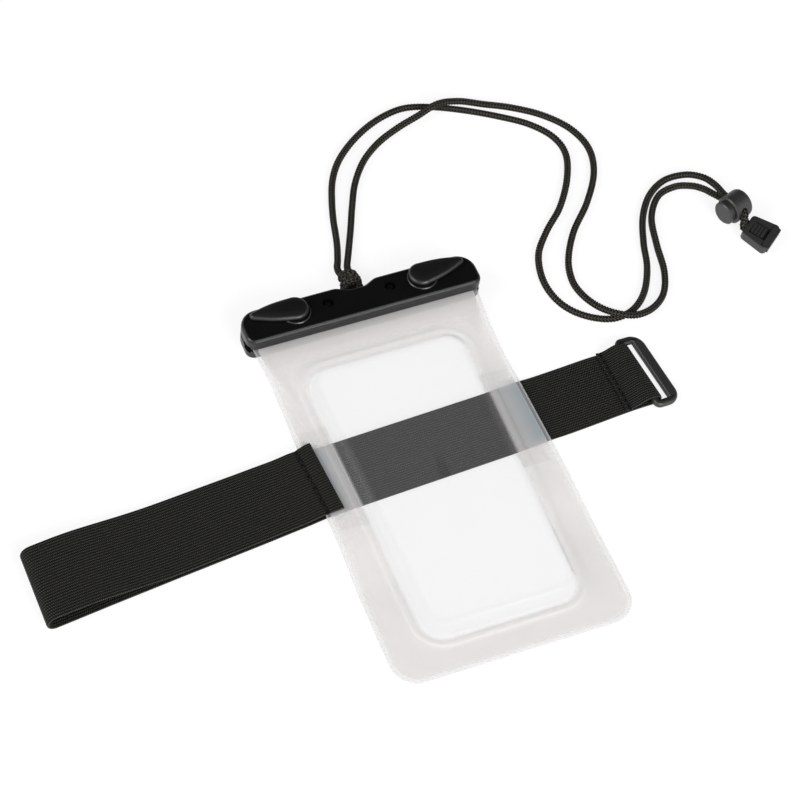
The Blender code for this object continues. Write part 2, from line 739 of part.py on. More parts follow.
def build_front_bar():
    """Front clamp bar with lever bosses, peg holes and seal groove."""
    bar = plate([clamp_outline()], FRONT_BAR_BOTTOM, FRONT_BAR_TOP)
    bar = soften(bar, FRONT_BAR_ROUND, 4, z_above=FRONT_BAR_TOP - HAIR)
    for side in (-1, 1):
        top = FRONT_BAR_TOP + BOSS_HEIGHT
        chamfer = BOSS_HEIGHT * 0.8
        boss = turned([
            (0.0, top), (BOSS_RADIUS - chamfer, top), (BOSS_RADIUS, top - chamfer),
            (BOSS_RADIUS, FRONT_BAR_TOP - 2.2 * MM), (0.0, FRONT_BAR_TOP - 2.2 * MM),
        ], 32)
        boss.data.transform(Matrix.Translation((side * LEVER_X, LEVER_Y - BOSS_SHIFT, 0.0)))
        bar = join(bar, boss)
    low, high = FRONT_BAR_BOTTOM - 1.0 * MM, FRONT_BAR_TOP + 2.0 * MM
    for side in (-1, 1):
        post_hole = disc(POST_RADIUS + FIT, low, high, (side * LEVER_X, LEVER_Y))
        peg_hole = disc(PEG_HOLE_RADIUS, low, high, (side * PEG_X, PEG_Y))
        bar = cut(bar, post_hole, peg_hole, pry_notch(side))
    bar = cut(
        bar,
        seal_groove(low, FRONT_BAR_BOTTOM + SEAL_THICKNESS + FIT),
        bight_pocket(low, BIGHT_Z + CORD_RADIUS + FIT),
    )
    return place(bar, "clamp_front_bar", CLAMP_BLACK)


def build_rear_bar():
    """Rear clamp bar with locating pegs, bight pin, seal groove and cam pockets."""
    bar = plate([clamp_outline()], 0.0, REAR_BAR_TOP)
    bar = soften(bar, REAR_BAR_ROUND, 3, z_below=HAIR)
    pocket_roof = FOOT_RECESS + FOOT_THICKNESS + FIT
    low, high = -1.0 * MM, REAR_BAR_TOP + 1.0 * MM
    for side in (-1, 1):
        centre = (side * LEVER_X, LEVER_Y)
        pocket = disc(FOOT_LENGTH / 2.0 + 2.0 * FIT, low, pocket_roof, centre, 32)
        slot = plate([[(side * LEVER_X + y, LEVER_Y + x)
                       for x, y in stadium(FOOT_LENGTH + 2.0 * FIT, FOOT_WIDTH + 2.0 * FIT)]],
                     pocket_roof - FIT / 2.0, high)
        bar = cut(bar, pocket, slot, pry_notch(side))
    groove_floor = REAR_BAR_TOP - SEAL_THICKNESS - FIT
    bight_floor = BIGHT_Z - CORD_RADIUS - FIT
    bar = cut(bar, seal_groove(groove_floor, high), bight_pocket(bight_floor, high))
    pin_top = BIGHT_Z + CORD_RADIUS
    bar = join(bar, disc(BIGHT_PIN_RADIUS, bight_floor - 1.0 * MM, pin_top,
                         (LANYARD_X, BIGHT_PIN_Y), 16))
    for side in (-1, 1):
        top = FRONT_BAR_TOP - PEG_DROP
        round_off = 0.4 * MM
        peg = turned([
            (0.0, top), (PEG_RADIUS - round_off, top), (PEG_RADIUS, top - round_off),
            (PEG_RADIUS, REAR_BAR_TOP - 1.0 * MM), (0.0, REAR_BAR_TOP - 1.0 * MM),
        ], 20)
        peg.data.transform(Matrix.Translation((side * PEG_X, PEG_Y, 0.0)))
        bar = join(bar, peg)
    return place(bar, "clamp_rear_bar", CLAMP_BLACK)


def build_seals():
    """The two seal strips, one in each bar's groove."""
    outline = box_outline(
        -SEAL_HALF_LENGTH, SEAL_HALF_LENGTH,
        SEAL_Y - SEAL_WIDTH / 2.0, SEAL_Y + SEAL_WIDTH / 2.0, 1.2 * MM,
    )
    rear_top, front_bottom = REAR_BAR_TOP, FRONT_BAR_BOTTOM
    place(plate([outline], rear_top - SEAL_THICKNESS, rear_top), "seal_strip_rear", SEAL_GREY)
    place(plate([outline], front_bottom, front_bottom + SEAL_THICKNESS),
          "seal_strip_front", SEAL_GREY)


def lever_outline(side):
    """Teardrop plan of a lever about its hub, its tip to one side."""
    tip = Vector((LEVER_TIP_X, LEVER_TIP_Y))
    lean = math.acos((LEVER_HUB_RADIUS - LEVER_TIP_RADIUS) / tip.length)
    heading = math.atan2(tip.y, tip.x)
    points = []
    for step in range(21):
        angle = heading + lean + (2.0 * math.pi - 2.0 * lean) * step / 20
        points.append(Vector((math.cos(angle), math.sin(angle))) * LEVER_HUB_RADIUS)
    for step in range(9):
        angle = heading - lean + 2.0 * lean * step / 8
        points.append(tip + Vector((math.cos(angle), math.sin(angle))) * LEVER_TIP_RADIUS)
    return [(side * point.x, point.y) for point in points]


def build_lever(side, word):
    """One turning lever with its post, and the cam foot on the post's end."""
    hinge = frame_empty(f"hinge_{word}", Matrix.Translation((side * LEVER_X, LEVER_Y, 0.0)))
    top = LEVER_BOTTOM + LEVER_THICKNESS
    handle = plate([lever_outline(side)], LEVER_BOTTOM, top)
    handle = soften(handle, LEVER_ROUND, 4, z_above=top - HAIR)
    foot_top = FOOT_RECESS + FOOT_THICKNESS
    shoulder = foot_top + FIT
    post = turned([
        (0.0, LEVER_BOTTOM + 1.0 * MM), (POST_RADIUS, LEVER_BOTTOM + 1.0 * MM),
        (POST_RADIUS, shoulder), (SPIGOT_RADIUS, shoulder),
        (SPIGOT_RADIUS, FOOT_RECESS + FIT), (0.0, FOOT_RECESS + FIT),
    ], 20)
    place(join(handle, post), f"lever_{word}", LEVER_BLACK, hinge)
    hole = [(math.cos(a) * (SPIGOT_RADIUS + FIT), math.sin(a) * (SPIGOT_RADIUS + FIT))
            for a in (math.tau * i / 16 for i in range(16))]
    foot = plate([stadium(FOOT_LENGTH, FOOT_WIDTH), hole], FOOT_RECESS, foot_top)
    place(foot, f"cam_foot_{word}", FITTING_BLACK, hinge)


def strap_frame_matrix():
    """Frame of the armband: u along it, v across it."""
    turn = Matrix.Rotation(STRAP_ANGLE, 4, "Z")
    return Matrix.Translation((0.0, STRAP_CENTRE_Y, 0.0)) @ turn


def strap_lay(u, upper=False):
    """Shift, lean and width of the elastic at a place; the upper layer ends in a flare."""
    shift, lean, width = along_table(STRAP_LAY, u)
    flare = ease((u - HEM_FLARE_U) / (STRAP_HEM_U - HEM_FLARE_U)) if upper else 0.0
    return shift * MM + HEM_SHIFT * flare, lean, width * MM + HEM_FLARE * flare


def bend(path, start, end, steps):
    """Add a soft S between two (u, z) places to a path."""
    for step in range(1, steps + 1):
        share = step / steps
        path.append((start[0] + (end[0] - start[0]) * share,
                     start[1] + (end[1] - start[1]) * ease(share)))


def lower_path():
    """Centre line of the elastic's lower run as (u, z), from sewn tail to fold."""
    half = STRAP_THICKNESS / 2.0
    table = half + HAIR
    under = STRAP_UNDER_POUCH + half
    doubled = table + STRAP_THICKNESS + FIT
    loop_z = RING_BAR_Z + LOOP_RADIUS
    loop_end = RING_BAR_U + LOOP_SLACK
    clear_of_bar = RING_BAR_U - RING_BAR_WIDTH / 2.0 - LOOP_GAP
    path = [(STRAP_TAIL_U, doubled), (STRAP_TAIL_U + 2.2 * MM, doubled)]
    bend(path, path[-1], (clear_of_bar, loop_z), 6)
    loop_centre = (table + loop_z) / 2.0
    loop_height = (loop_z - table) / 2.0
    for step in range(13):
        angle = math.pi / 2.0 - math.pi * step / 12
        path.append((loop_end + LOOP_RADIUS * math.cos(angle),
                     loop_centre + loop_height * math.sin(angle)))
    path.extend((u * MM, table) for u in (110.5, 103.0, 97.0, 80.0))
    reach = KEEPER_X + KEEPER_WIDTH / 2.0 + 2.0 * MM
    bend(path, (reach + 12.0 * MM, table), (reach, under), 4)
    path.extend((u * MM, under) for u in (38.0, 0.0, -38.0))
    bend(path, (-reach, under), (-reach - 12.0 * MM, table), 4)
    path.extend((u * MM, table) for u in (-94.0, -115.0, -135.0, -155.0, -175.0, -190.0))
    return path


def upper_path():
    """Centre line of the elastic's upper run as (u, z), from the fold to the free hem."""
    half = STRAP_THICKNESS / 2.0
    table = half + HAIR
    fold_centre = STRAP_FOLD_U + FOLD_RADIUS + half
    path = []
    for step in range(13):
        angle = -math.pi / 2.0 - math.pi * step / 12
        path.append((fold_centre + FOLD_RADIUS * math.cos(angle),
                     table + FOLD_RADIUS + FOLD_RADIUS * math.sin(angle)))
    over_patch = table + half + FIT + PATCH_THICKNESS + FIT + half
    bend(path, (FOLD_SLOPE_U[0], table + 2.0 * FOLD_RADIUS), (FOLD_SLOPE_U[1], over_patch), 8)
    path.extend((u * MM, over_patch) for u in (-115.0, -94.0, -80.0))
    over_film = BACK_FILM_OVER_STRAP + FILM_STEP + FILM_THICKNESS + FIT + half
    bend(path, (HEM_CLIMB_U, over_patch), (HEM_FLARE_U, over_film), 4)
    bend(path, (HEM_FLARE_U, over_film), (STRAP_HEM_U, over_film), 4)
    return path


def ribbon(sections, thickness):
    """A solid band through sections, each a centre, a lean and a width."""
    work = bmesh.new()
    loops = []
    centres = [centre for centre, _, _ in sections]
    for index, (centre, lean, width) in enumerate(sections):
        before = centres[max(index - 1, 0)]
        after = centres[min(index + 1, len(centres) - 1)]
        along = (after - before).normalized()
        out = Vector((-along.z, 0.0, along.x)).normalized() * (thickness / 2.0)
        across = Vector((lean, 1.0, 0.0)) * (width / 2.0)
        corners = (centre + out + across, centre + out - across,
                   centre - out - across, centre - out + across)
        loops.append([work.verts.new(corner) for corner in corners])
    for first, second in zip(loops, loops[1:]):
        for index in range(4):
            after = (index + 1) % 4
            work.faces.new((first[index], first[after], second[after], second[index]))
    work.faces.new(loops[0])
    work.faces.new(loops[-1])
    return from_bmesh(work)


def strap_sections():
    """Sections of the whole elastic, from the sewn tail to the free hem."""
    sections = []
    for path, upper in ((lower_path(), False), (upper_path(), True)):
        for u, z in path:
            shift, lean, width = strap_lay(u, upper)
            sections.append((Vector((u, shift, z)), lean, width))
    return sections


def patch_outline(start, end):
    """Plan of a patch that keeps a margin inside the elastic's edges."""
    corners = []
    for u, side in ((start, -1), (end, -1), (end, 1), (start, 1)):
        shift, lean, _ = strap_lay(u)
        across = side * (strap_lay(HOOK_PATCH_U[1])[2] / 2.0 - PATCH_MARGIN)
        corners.append(((u + lean * across, shift + across), 1.5 * MM))
    return rounded(corners, 4)


def build_armband():
    """Folded elastic band with its hook and loop patches."""
    frame = frame_empty("strap_frame", strap_frame_matrix())
    band = ribbon(strap_sections(), STRAP_THICKNESS)
    place(band, "strap_band", WEB_BLACK, frame)
    bottom = STRAP_THICKNESS + HAIR + FIT
    for name, (start, end) in (("hook_patch", HOOK_PATCH_U), ("loop_patch", LOOP_PATCH_U)):
        patch = plate([patch_outline(start, end)], bottom, bottom + PATCH_THICKNESS)
        place(patch, name, PATCH_BLACK, frame)


def build_keeper(side, word):
    """Film strip that holds the armband to the back film, welded at both ends."""
    shift, _, width = strap_lay(side * KEEPER_X)
    centre_y = STRAP_CENTRE_Y + shift + side * KEEPER_X * math.tan(STRAP_ANGLE)
    lean = KEEPER_WIDTH / 2.0 * math.tan(STRAP_ANGLE)
    clear = width / 2.0 / math.cos(STRAP_ANGLE) + lean + KEEPER_SIDE_GAP
    low = FILM_THICKNESS / 2.0
    high = BACK_FILM_OVER_STRAP - FIT - FILM_THICKNESS / 2.0
    reach = clear + KEEPER_RUN
    points = [
        (centre_y - reach - KEEPER_TAB, high), (centre_y - reach, high),
        (centre_y - clear, low), (centre_y + clear, low),
        (centre_y + reach, high), (centre_y + reach + KEEPER_TAB, high),
    ]
    sections = [(Vector((y, 0.0, z)), 0.0, KEEPER_WIDTH) for y, z in points]
    strip = ribbon(sections, FILM_THICKNESS)
    strip.data.transform(Matrix.Rotation(math.radians(90.0), 4, "Z"))
    strip.data.transform(Matrix.Translation((side * KEEPER_X, 0.0, 0.0)))
    place(strip, f"strap_keeper_{word}", FILM_CLEAR)


def ring_matrix():
    """Frame of the ring: its bar along Y, its far end resting on the table."""
    return (strap_frame_matrix() @ Matrix.Translation((RING_BAR_U, RING_SHIFT, RING_BAR_Z))
            @ Matrix.Rotation(RING_TURN, 4, "Z") @ Matrix.Rotation(RING_TILT, 4, "Y"))


def build_ring():
    """Moulded ring whose round bar turns in the sewn loop."""
    hinge = frame_empty("ring_hinge", ring_matrix())
    inner = strap_lay(RING_BAR_U)[2] / 2.0 + RING_SIDE_GAP
    bar = RING_BAR_WIDTH / 2.0
    outer = rounded([
        ((-bar, -inner - RING_ARM), RING_BAR_CORNER), ((RING_REACH, -inner - RING_ARM), RING_CORNER),
        ((RING_REACH, inner + RING_ARM), RING_CORNER), ((-bar, inner + RING_ARM), RING_BAR_CORNER),
    ], 7)
    slot = box_outline(bar, bar + RING_SLOT, -inner, inner, RING_SLOT_CORNER, 2)
    ring = plate([outer, slot], -RING_THICKNESS / 2.0, RING_THICKNESS / 2.0)
    ring = soften(ring, RING_ROUND, 3)
    place(ring, "strap_ring", FITTING_BLACK, hinge)


def build_knot():
    """The knot with the bight of cord that is hooked round the clamp's pin."""
    work = bmesh.new()
    bmesh.ops.create_uvsphere(work, u_segments=20, v_segments=12, radius=1.0)
    bmesh.ops.scale(work, vec=KNOT_SIZE, verts=work.verts)
    bmesh.ops.translate(work, vec=(LANYARD_X, KNOT_Y, BIGHT_Z), verts=work.verts)
    knot = from_bmesh(work, "knot")
    turn = BIGHT_PIN_RADIUS + FIT + CORD_RADIUS
    leg_end = KNOT_Y - 2.5 * MM
    path = [(LANYARD_X - turn, leg_end, BIGHT_Z), (LANYARD_X - turn, 9.0 * MM, BIGHT_Z)]
    for step in range(11):
        angle = math.pi + math.pi * step / 10
        path.append((LANYARD_X + turn * math.cos(angle),
                     BIGHT_PIN_Y + turn * math.sin(angle), BIGHT_Z))
    path.append((LANYARD_X + turn, 9.0 * MM, BIGHT_Z))
    path.append((LANYARD_X + turn, leg_end, BIGHT_Z))
    place(join(knot, tube(path, CORD_RADIUS)), "lanyard_knot", CORD_BLACK)


def lock_frame_matrix():
    """Frame of the cord lock: Z along the barrel, X the way the cords run."""
    along = Vector((math.cos(LOCK_ANGLE), math.sin(LOCK_ANGLE), 0.0))
    run = Vector((math.sin(LOCK_ANGLE), -math.cos(LOCK_ANGLE), 0.0))
    side = along.cross(run)
    matrix = Matrix((run, side, along)).transposed().to_4x4()
    matrix.translation = Vector((*LOCK_RIM, LOCK_RADIUS))
    return matrix


def clip_frame_matrix():
    """Frame of the end clip: X away from the cords, its far end on the table."""
    heading = Matrix.Rotation(CLIP_ANGLE, 4, "Z")
    tilt = Matrix.Rotation(CLIP_TILT, 4, "Y")
    reach = CLIP_LENGTH + CLIP_CAP_PROUD
    height = reach * math.sin(CLIP_TILT) + CLIP_THICKNESS / 2.0 * math.cos(CLIP_TILT)
    return Matrix.Translation((*CLIP_ENTRY, height)) @ heading @ tilt


def cord_path(route, drop):
    """A strand's points: its route, then straight through the lock."""
    frame = lock_frame_matrix()
    points = [Vector(point) * MM for point in route]
    entry, leave = (frame @ Vector((reach, drop, LOCK_CORD_OFFSET))
                    for reach in (-LOCK_RADIUS - 1.0 * MM, LOCK_CORD_EXIT))
    return [*smooth_route([*points, entry], CORD_STEP), leave]


def tail_path(side):
    """A strand's short end, which twists a quarter turn from lock to clip."""
    lock, clip = lock_frame_matrix(), clip_frame_matrix()
    start = lock @ Vector((LOCK_CORD_EXIT + FIT + TAIL_LEAD, 0.0, LOCK_CORD_OFFSET))
    end = clip @ Vector((-FIT, 0.0, 0.0))
    run_out = lock.to_3x3() @ Vector((1.0, 0.0, 0.0))
    run_in = clip.to_3x3() @ Vector((1.0, 0.0, 0.0))
    pull = (end - start).length
    drop = side * STRAND_PITCH / 2.0
    points = [lock @ Vector((LOCK_CORD_EXIT + FIT, drop, LOCK_CORD_OFFSET))]
    for step in range(9):
        t = step / 8
        centre = ((2 * t ** 3 - 3 * t ** 2 + 1) * start + (t ** 3 - 2 * t ** 2 + t) * run_out * pull
                  + (3 * t ** 2 - 2 * t ** 3) * end + (t ** 3 - t ** 2) * run_in * pull)
        turn = t * math.pi / 2.0
        spread = STRAND_PITCH / 2.0 * (1.0 + TAIL_BULGE * math.sin(2.0 * turn))
        upright = lock.to_3x3() @ Vector((0.0, 1.0, 0.0))
        across = clip.to_3x3() @ Vector((0.0, 1.0, 0.0))
        offset = upright * math.cos(turn) + across * math.sin(turn)
        points.append(centre + offset.normalized() * (side * spread))
    points.append(clip @ Vector((CLIP_SOCKET_DEPTH - FIT, drop, 0.0)))
    return points


def build_cords():
    """The two strands from knot to lock, and their short ends to the clip."""
    strands = (("a", CORD_A_ROUTE, -1), ("b", CORD_B_ROUTE, 1))
    for word, route, side in strands:
        path = cord_path(route, side * STRAND_PITCH / 2.0)
        place(tube(path, CORD_RADIUS), f"lanyard_cord_{word}", CORD_BLACK)
        place(tube(tail_path(side), CORD_RADIUS), f"cord_tail_{word}", CORD_BLACK)


def lock_hole(width, height, reach, centre_z):
    """Cutter for a slot across the barrel that the cords pass through."""
    made = plate([stadium(height, width)], -reach, reach)
    made.data.transform(Matrix.Rotation(math.radians(90.0), 4, "Z"))
    made.data.transform(Matrix.Rotation(math.radians(90.0), 4, "Y"))
    made.data.transform(Matrix.Translation((0.0, 0.0, centre_z)))
    return made


def build_cord_lock():
    """Barrel, spring and push button of the cord lock."""
    frame = frame_empty("lock_frame", lock_frame_matrix())
    dome = 2.6 * MM
    profile = [(0.0, LOCK_LENGTH)]
    for step in range(7):
        angle = math.pi / 2.0 * (1.0 - step / 6)
        profile.append((LOCK_RADIUS - dome + dome * math.cos(angle),
                        LOCK_LENGTH - dome + dome * math.sin(angle)))
    chamber_end = LOCK_LENGTH - LOCK_END_WALL
    rim = 0.6 * MM
    profile += [
        (LOCK_RADIUS, rim), (LOCK_RADIUS - rim, 0.0), (LOCK_BORE, 0.0),
        (LOCK_BORE, chamber_end), (0.0, chamber_end),
    ]
    body = turned(profile, 32)
    body = cut(body, lock_hole(LOCK_HOLE_WIDTH, LOCK_HOLE_HEIGHT, 10.0 * MM, LOCK_CORD_OFFSET))
    place(body, "cord_lock_body", FITTING_BLACK, frame)

    grip = LOCK_CORD_OFFSET + CORD_RADIUS + FIT
    slot_start = LOCK_CORD_OFFSET - CORD_RADIUS - FIT - PLUNGER_TRAVEL
    stem = LOCK_BORE - FIT
    cap_bottom = -PLUNGER_TRAVEL - FIT
    cap_top = cap_bottom - BUTTON_THICKNESS
    edge = 0.7 * MM
    plunger = turned([
        (0.0, grip + PLUNGER_TIP), (stem, grip + PLUNGER_TIP), (stem, cap_bottom),
        (BUTTON_RADIUS, cap_bottom), (BUTTON_RADIUS, cap_top + edge),
        (BUTTON_RADIUS - edge, cap_top), (0.0, cap_top),
    ], 32)
    slot = lock_hole(grip - slot_start, LOCK_HOLE_HEIGHT, 10.0 * MM, (grip + slot_start) / 2.0)
    place(cut(plunger, slot), "cord_lock_plunger", FITTING_BLACK, frame)

    spring_start = chamber_end - FIT - SPRING_WIRE / 2.0
    spring_end = grip + PLUNGER_TIP + PLUNGER_TRAVEL + FIT + SPRING_WIRE / 2.0
    coil = []
    steps = SPRING_TURNS * 14
    for step in range(steps + 1):
        share = step / steps
        angle = math.tau * SPRING_TURNS * share
        radius = SPRING_OUTER + (SPRING_INNER - SPRING_OUTER) * share
        coil.append((radius * math.cos(angle), radius * math.sin(angle),
                     spring_start + (spring_end - spring_start) * share))
    place(tube(coil, SPRING_WIRE / 2.0, 1), "cord_lock_spring", SPRING_STEEL, frame)


def build_end_clip():
    """End clip: a flat housing over the cord ends, closed by a snap insert."""
    frame = frame_empty("clip_frame", clip_frame_matrix())
    half = CLIP_THICKNESS / 2.0
    near, far = CLIP_NEAR_WIDTH / 2.0, CLIP_FAR_WIDTH / 2.0
    outline = rounded([
        ((0.0, -near), CLIP_CORNER), ((CLIP_LENGTH, -far), CLIP_CORNER),
        ((CLIP_LENGTH, far), CLIP_CORNER), ((0.0, near), CLIP_CORNER),
    ])
    housing = soften(plate([outline], -half, half), 0.6 * MM, 2)
    roof = half - CLIP_END_WALL
    floor = CLIP_FLOOR - half
    tongue_end = CLIP_NEAR_WALL + FIT + CLIP_TONGUE_LENGTH
    cap_start = CLIP_LENGTH - CLIP_CAP_LENGTH
    side = CLIP_TONGUE_WIDTH / 2.0
    cavity = plate([box_outline(CLIP_NEAR_WALL, CLIP_LENGTH + 3.0 * MM,
                                -side - FIT, side + FIT, 0.4 * MM)], floor, roof)
    window = plate([box_outline(CLIP_NEAR_WALL, tongue_end + FIT + CLIP_SLOT,
                                -side - CLIP_SLOT, side + CLIP_SLOT, 0.5 * MM)],
                   roof - 0.4 * MM, half + 1.0 * MM)
    mouth = plate([box_outline(cap_start - FIT, CLIP_LENGTH + 3.0 * MM,
                               1.6 * MM - far, far - 1.6 * MM, 0.4 * MM)],
                  floor, half + 1.0 * MM)
    socket = plate([stadium(CORD_DIAMETER + STRAND_PITCH + 2.0 * CLIP_SOCKET_PLAY,
                            CORD_DIAMETER + 2.0 * CLIP_SOCKET_PLAY)],
                   -1.0 * MM, CLIP_SOCKET_DEPTH)
    socket.data.transform(Matrix.Rotation(math.radians(90.0), 4, "Z"))
    socket.data.transform(Matrix.Rotation(math.radians(90.0), 4, "Y"))
    housing = cut(housing, cavity, window, mouth, socket)
    place(housing, "end_clip_housing", FITTING_BLACK, frame)

    tongue = plate([box_outline(CLIP_NEAR_WALL + FIT, tongue_end, -side, side, 0.5 * MM)],
                   floor + FIT, half - 0.3 * MM)
    for row in range(3):
        x = CLIP_NEAR_WALL + FIT + CLIP_TONGUE_LENGTH * (row + 1) / 4.0
        groove = plate([box_outline(x - CLIP_GROOVE / 2.0, x + CLIP_GROOVE / 2.0,
                                    -side - 1.0 * MM, side + 1.0 * MM, 0.1 * MM)],
                       half - 0.3 * MM - CLIP_GROOVE, half + 1.0 * MM)
        tongue = cut(tongue, groove)
    bridge = plate([box_outline(tongue_end - 1.5 * MM, CLIP_LENGTH - 0.5 * MM,
                                0.5 * MM - side, side - 0.5 * MM, 0.3 * MM)],
                   floor + 2.0 * FIT, roof - 2.0 * FIT)
    cap = plate([box_outline(cap_start, CLIP_LENGTH + CLIP_CAP_PROUD,
                             1.6 * MM + FIT - far, far - 1.6 * MM - FIT, 0.5 * MM)],
                floor + FIT, half)
    place(join(tongue, bridge, cap), "end_clip_insert", FITTING_BLACK, frame)


def main():
    """Build every piece of the pouch."""
    build_front_film()
    build_back_film()
    build_front_bar()
    build_rear_bar()
    build_seals()
    build_armband()
    build_ring()
    build_knot()
    build_cords()
    build_cord_lock()
    build_end_clip()
    for side, word in ((-1, "left"), (1, "right")):
        build_lever(side, word)
        build_keeper(side, word)


main()
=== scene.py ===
"""Looks of the waterproof armband pouch: camera, light, finishes and fine pieces.

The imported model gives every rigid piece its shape.  This script dresses those
pieces and makes the ones that a camera sees close up: the braided cords and
their knot, the drawn films, the woven elastic and its stitching.  Lengths are
in metres, in the model's own frame, and hex colours are sRGB.
"""

import json
import logging
import math
from dataclasses import dataclass, field
from enum import Enum
from typing import Any, Callable, Sequence

import bpy
import numpy as np
from mathutils import Matrix, Vector

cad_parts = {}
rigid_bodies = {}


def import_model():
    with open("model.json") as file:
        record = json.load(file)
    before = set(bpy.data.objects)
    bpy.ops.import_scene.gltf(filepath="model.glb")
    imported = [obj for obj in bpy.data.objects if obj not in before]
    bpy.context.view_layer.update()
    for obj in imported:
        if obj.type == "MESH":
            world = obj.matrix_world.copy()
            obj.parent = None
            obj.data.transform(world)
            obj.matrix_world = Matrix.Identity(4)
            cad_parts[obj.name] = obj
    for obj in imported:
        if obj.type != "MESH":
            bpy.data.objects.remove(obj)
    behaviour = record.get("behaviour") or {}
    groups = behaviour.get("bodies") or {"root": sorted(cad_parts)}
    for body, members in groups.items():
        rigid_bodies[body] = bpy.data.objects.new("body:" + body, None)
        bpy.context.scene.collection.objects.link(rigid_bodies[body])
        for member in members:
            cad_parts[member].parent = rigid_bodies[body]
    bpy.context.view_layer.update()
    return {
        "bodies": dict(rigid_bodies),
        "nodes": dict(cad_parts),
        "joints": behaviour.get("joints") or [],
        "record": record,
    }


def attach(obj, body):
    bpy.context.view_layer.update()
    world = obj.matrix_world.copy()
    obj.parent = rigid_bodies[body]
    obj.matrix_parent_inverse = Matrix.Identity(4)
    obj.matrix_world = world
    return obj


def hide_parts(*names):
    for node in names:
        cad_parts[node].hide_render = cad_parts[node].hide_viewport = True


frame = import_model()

LOG = logging.getLogger("armband_pouch")
MM = 0.001
BODY = "pouch"

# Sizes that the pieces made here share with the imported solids
FIT = 0.3 * MM
FILM_THICKNESS = 0.4 * MM
FILM_STEP = FILM_THICKNESS + FIT
CLAMP_FRONT_Y = -9.7 * MM
CORD_DIAMETER = 3.5 * MM
STRAP_THICKNESS = 1.5 * MM
ELASTIC_HALF = 19.0 * MM
ELASTIC_RIBS = 28
ELASTIC_RIB = 2.0 * ELASTIC_HALF / ELASTIC_RIBS
STRAP_ANGLE = math.radians(2.6)
STRAP_CENTRE_Y = -86.75 * MM

# Half width of the films along the pouch: place and half width, in millimetres
FILM_WAIST = (
    (-180.0, 60.7), (-150.0, 60.3), (-125.0, 59.7), (-105.0, 59.5),
    (-65.0, 58.6), (-50.0, 58.0), (-27.0, 58.0), (-9.7, 59.4),
)

# How the elastic lies, in millimetres: place along it, shift to its side,
# lean of the line across it, and width
STRAP_LAY = (
    (-202.0, -7.7, 0.045, 40.5), (-190.0, -6.9, 0.02, 40.5), (-175.0, -5.8, -0.03, 40.4),
    (-135.0, -3.5, -0.04, 40.0), (-94.0, -1.6, -0.035, 39.2), (-62.0, 0.1, -0.02, 38.4),
    (-38.0, 0.0, 0.0, 37.8), (38.0, 0.0, -0.01, 37.4), (64.0, 0.8, -0.02, 37.0),
    (80.0, 1.05, -0.025, 36.8), (97.0, 1.5, 0.0, 36.6), (103.0, 1.5, 0.05, 36.3),
    (110.5, 1.1, -0.052, 35.4), (120.0, 0.6, -0.052, 35.4),
)

Point = tuple[float, float, float]
Material = bpy.types.Material
Object = bpy.types.Object
Socket = bpy.types.NodeSocket


def linear(hex_colour: str) -> tuple[float, float, float, float]:
    """Turn an sRGB hex colour into the linear one that a shader takes.

    Args:
        hex_colour: Six hex digits, with or without a leading hash.

    Returns:
        Linear red, green, blue and an alpha of 1.
    """
    digits = hex_colour.lstrip("#")
    parts = [int(digits[index:index + 2], 16) / 255.0 for index in (0, 2, 4)]
    turned = [
        part / 12.92 if part <= 0.04045 else ((part + 0.055) / 1.055) ** 2.4
        for part in parts
    ]
    return (*turned, 1.0)


def add_node(
    tree: bpy.types.NodeTree,
    kind: str,
    inputs: dict[str | int, Any] | None = None,
    **settings: Any,
) -> bpy.types.Node:
    """Add a node with its settings, values and links.

    Args:
        tree: Node tree that takes the node.
        kind: Blender's identifier of the node.
        inputs: Input name or index to a value, or to an output socket to link.
        **settings: Properties of the node itself.

    Returns:
        The new node.
    """
    node = tree.nodes.new(kind)
    for name, value in settings.items():
        setattr(node, name, value)
    for name, value in (inputs or {}).items():
        socket = node.inputs[name]
        if isinstance(value, Socket):
            tree.links.new(value, socket)
        else:
            socket.default_value = value
    return node


def ease(value: float) -> float:
    """Smooth step from 0 to 1."""
    held = min(1.0, max(0.0, value))
    return held * held * (3.0 - 2.0 * held)


def smooth_line(points: Sequence[Sequence[float]], step: float) -> np.ndarray:
    """Run a smooth curve through points and space it evenly.

    Args:
        points: Given points of the route.
        step: Distance between the points that come back.

    Returns:
        An array of evenly spaced points from the first to the last.
    """
    given = np.asarray(points, float)
    ends = np.vstack([2 * given[0] - given[1], given, 2 * given[-1] - given[-2]])
    share = np.linspace(0.0, 1.0, 24, endpoint=False)[:, None]
    pieces = []
    for before, start, end, after in zip(ends, ends[1:], ends[2:], ends[3:]):
        pieces.append(0.5 * (
            2 * start + (end - before) * share
            + (2 * before - 5 * start + 4 * end - after) * share ** 2
            + (3 * start - before - 3 * end + after) * share ** 3
        ))
    fine = np.vstack([*pieces, given[-1:]])
    walked = np.concatenate([[0.0], np.cumsum(np.linalg.norm(np.diff(fine, axis=0), axis=1))])
    count = max(2, int(round(walked[-1] / step)))
    wanted = np.linspace(0.0, walked[-1], count + 1)
    return np.column_stack([np.interp(wanted, walked, fine[:, axis]) for axis in range(fine.shape[1])])


def line_length(points: np.ndarray) -> float:
    """Length of a line through points."""
    return float(np.linalg.norm(np.diff(points, axis=0), axis=1).sum())


class Finish(Enum):
    """Names of four finishes: film, webbing, cord and lever."""

    FILM = "film"
    WEBBING = "webbing"
    CORD = "cord"
    LEVER = "lever"


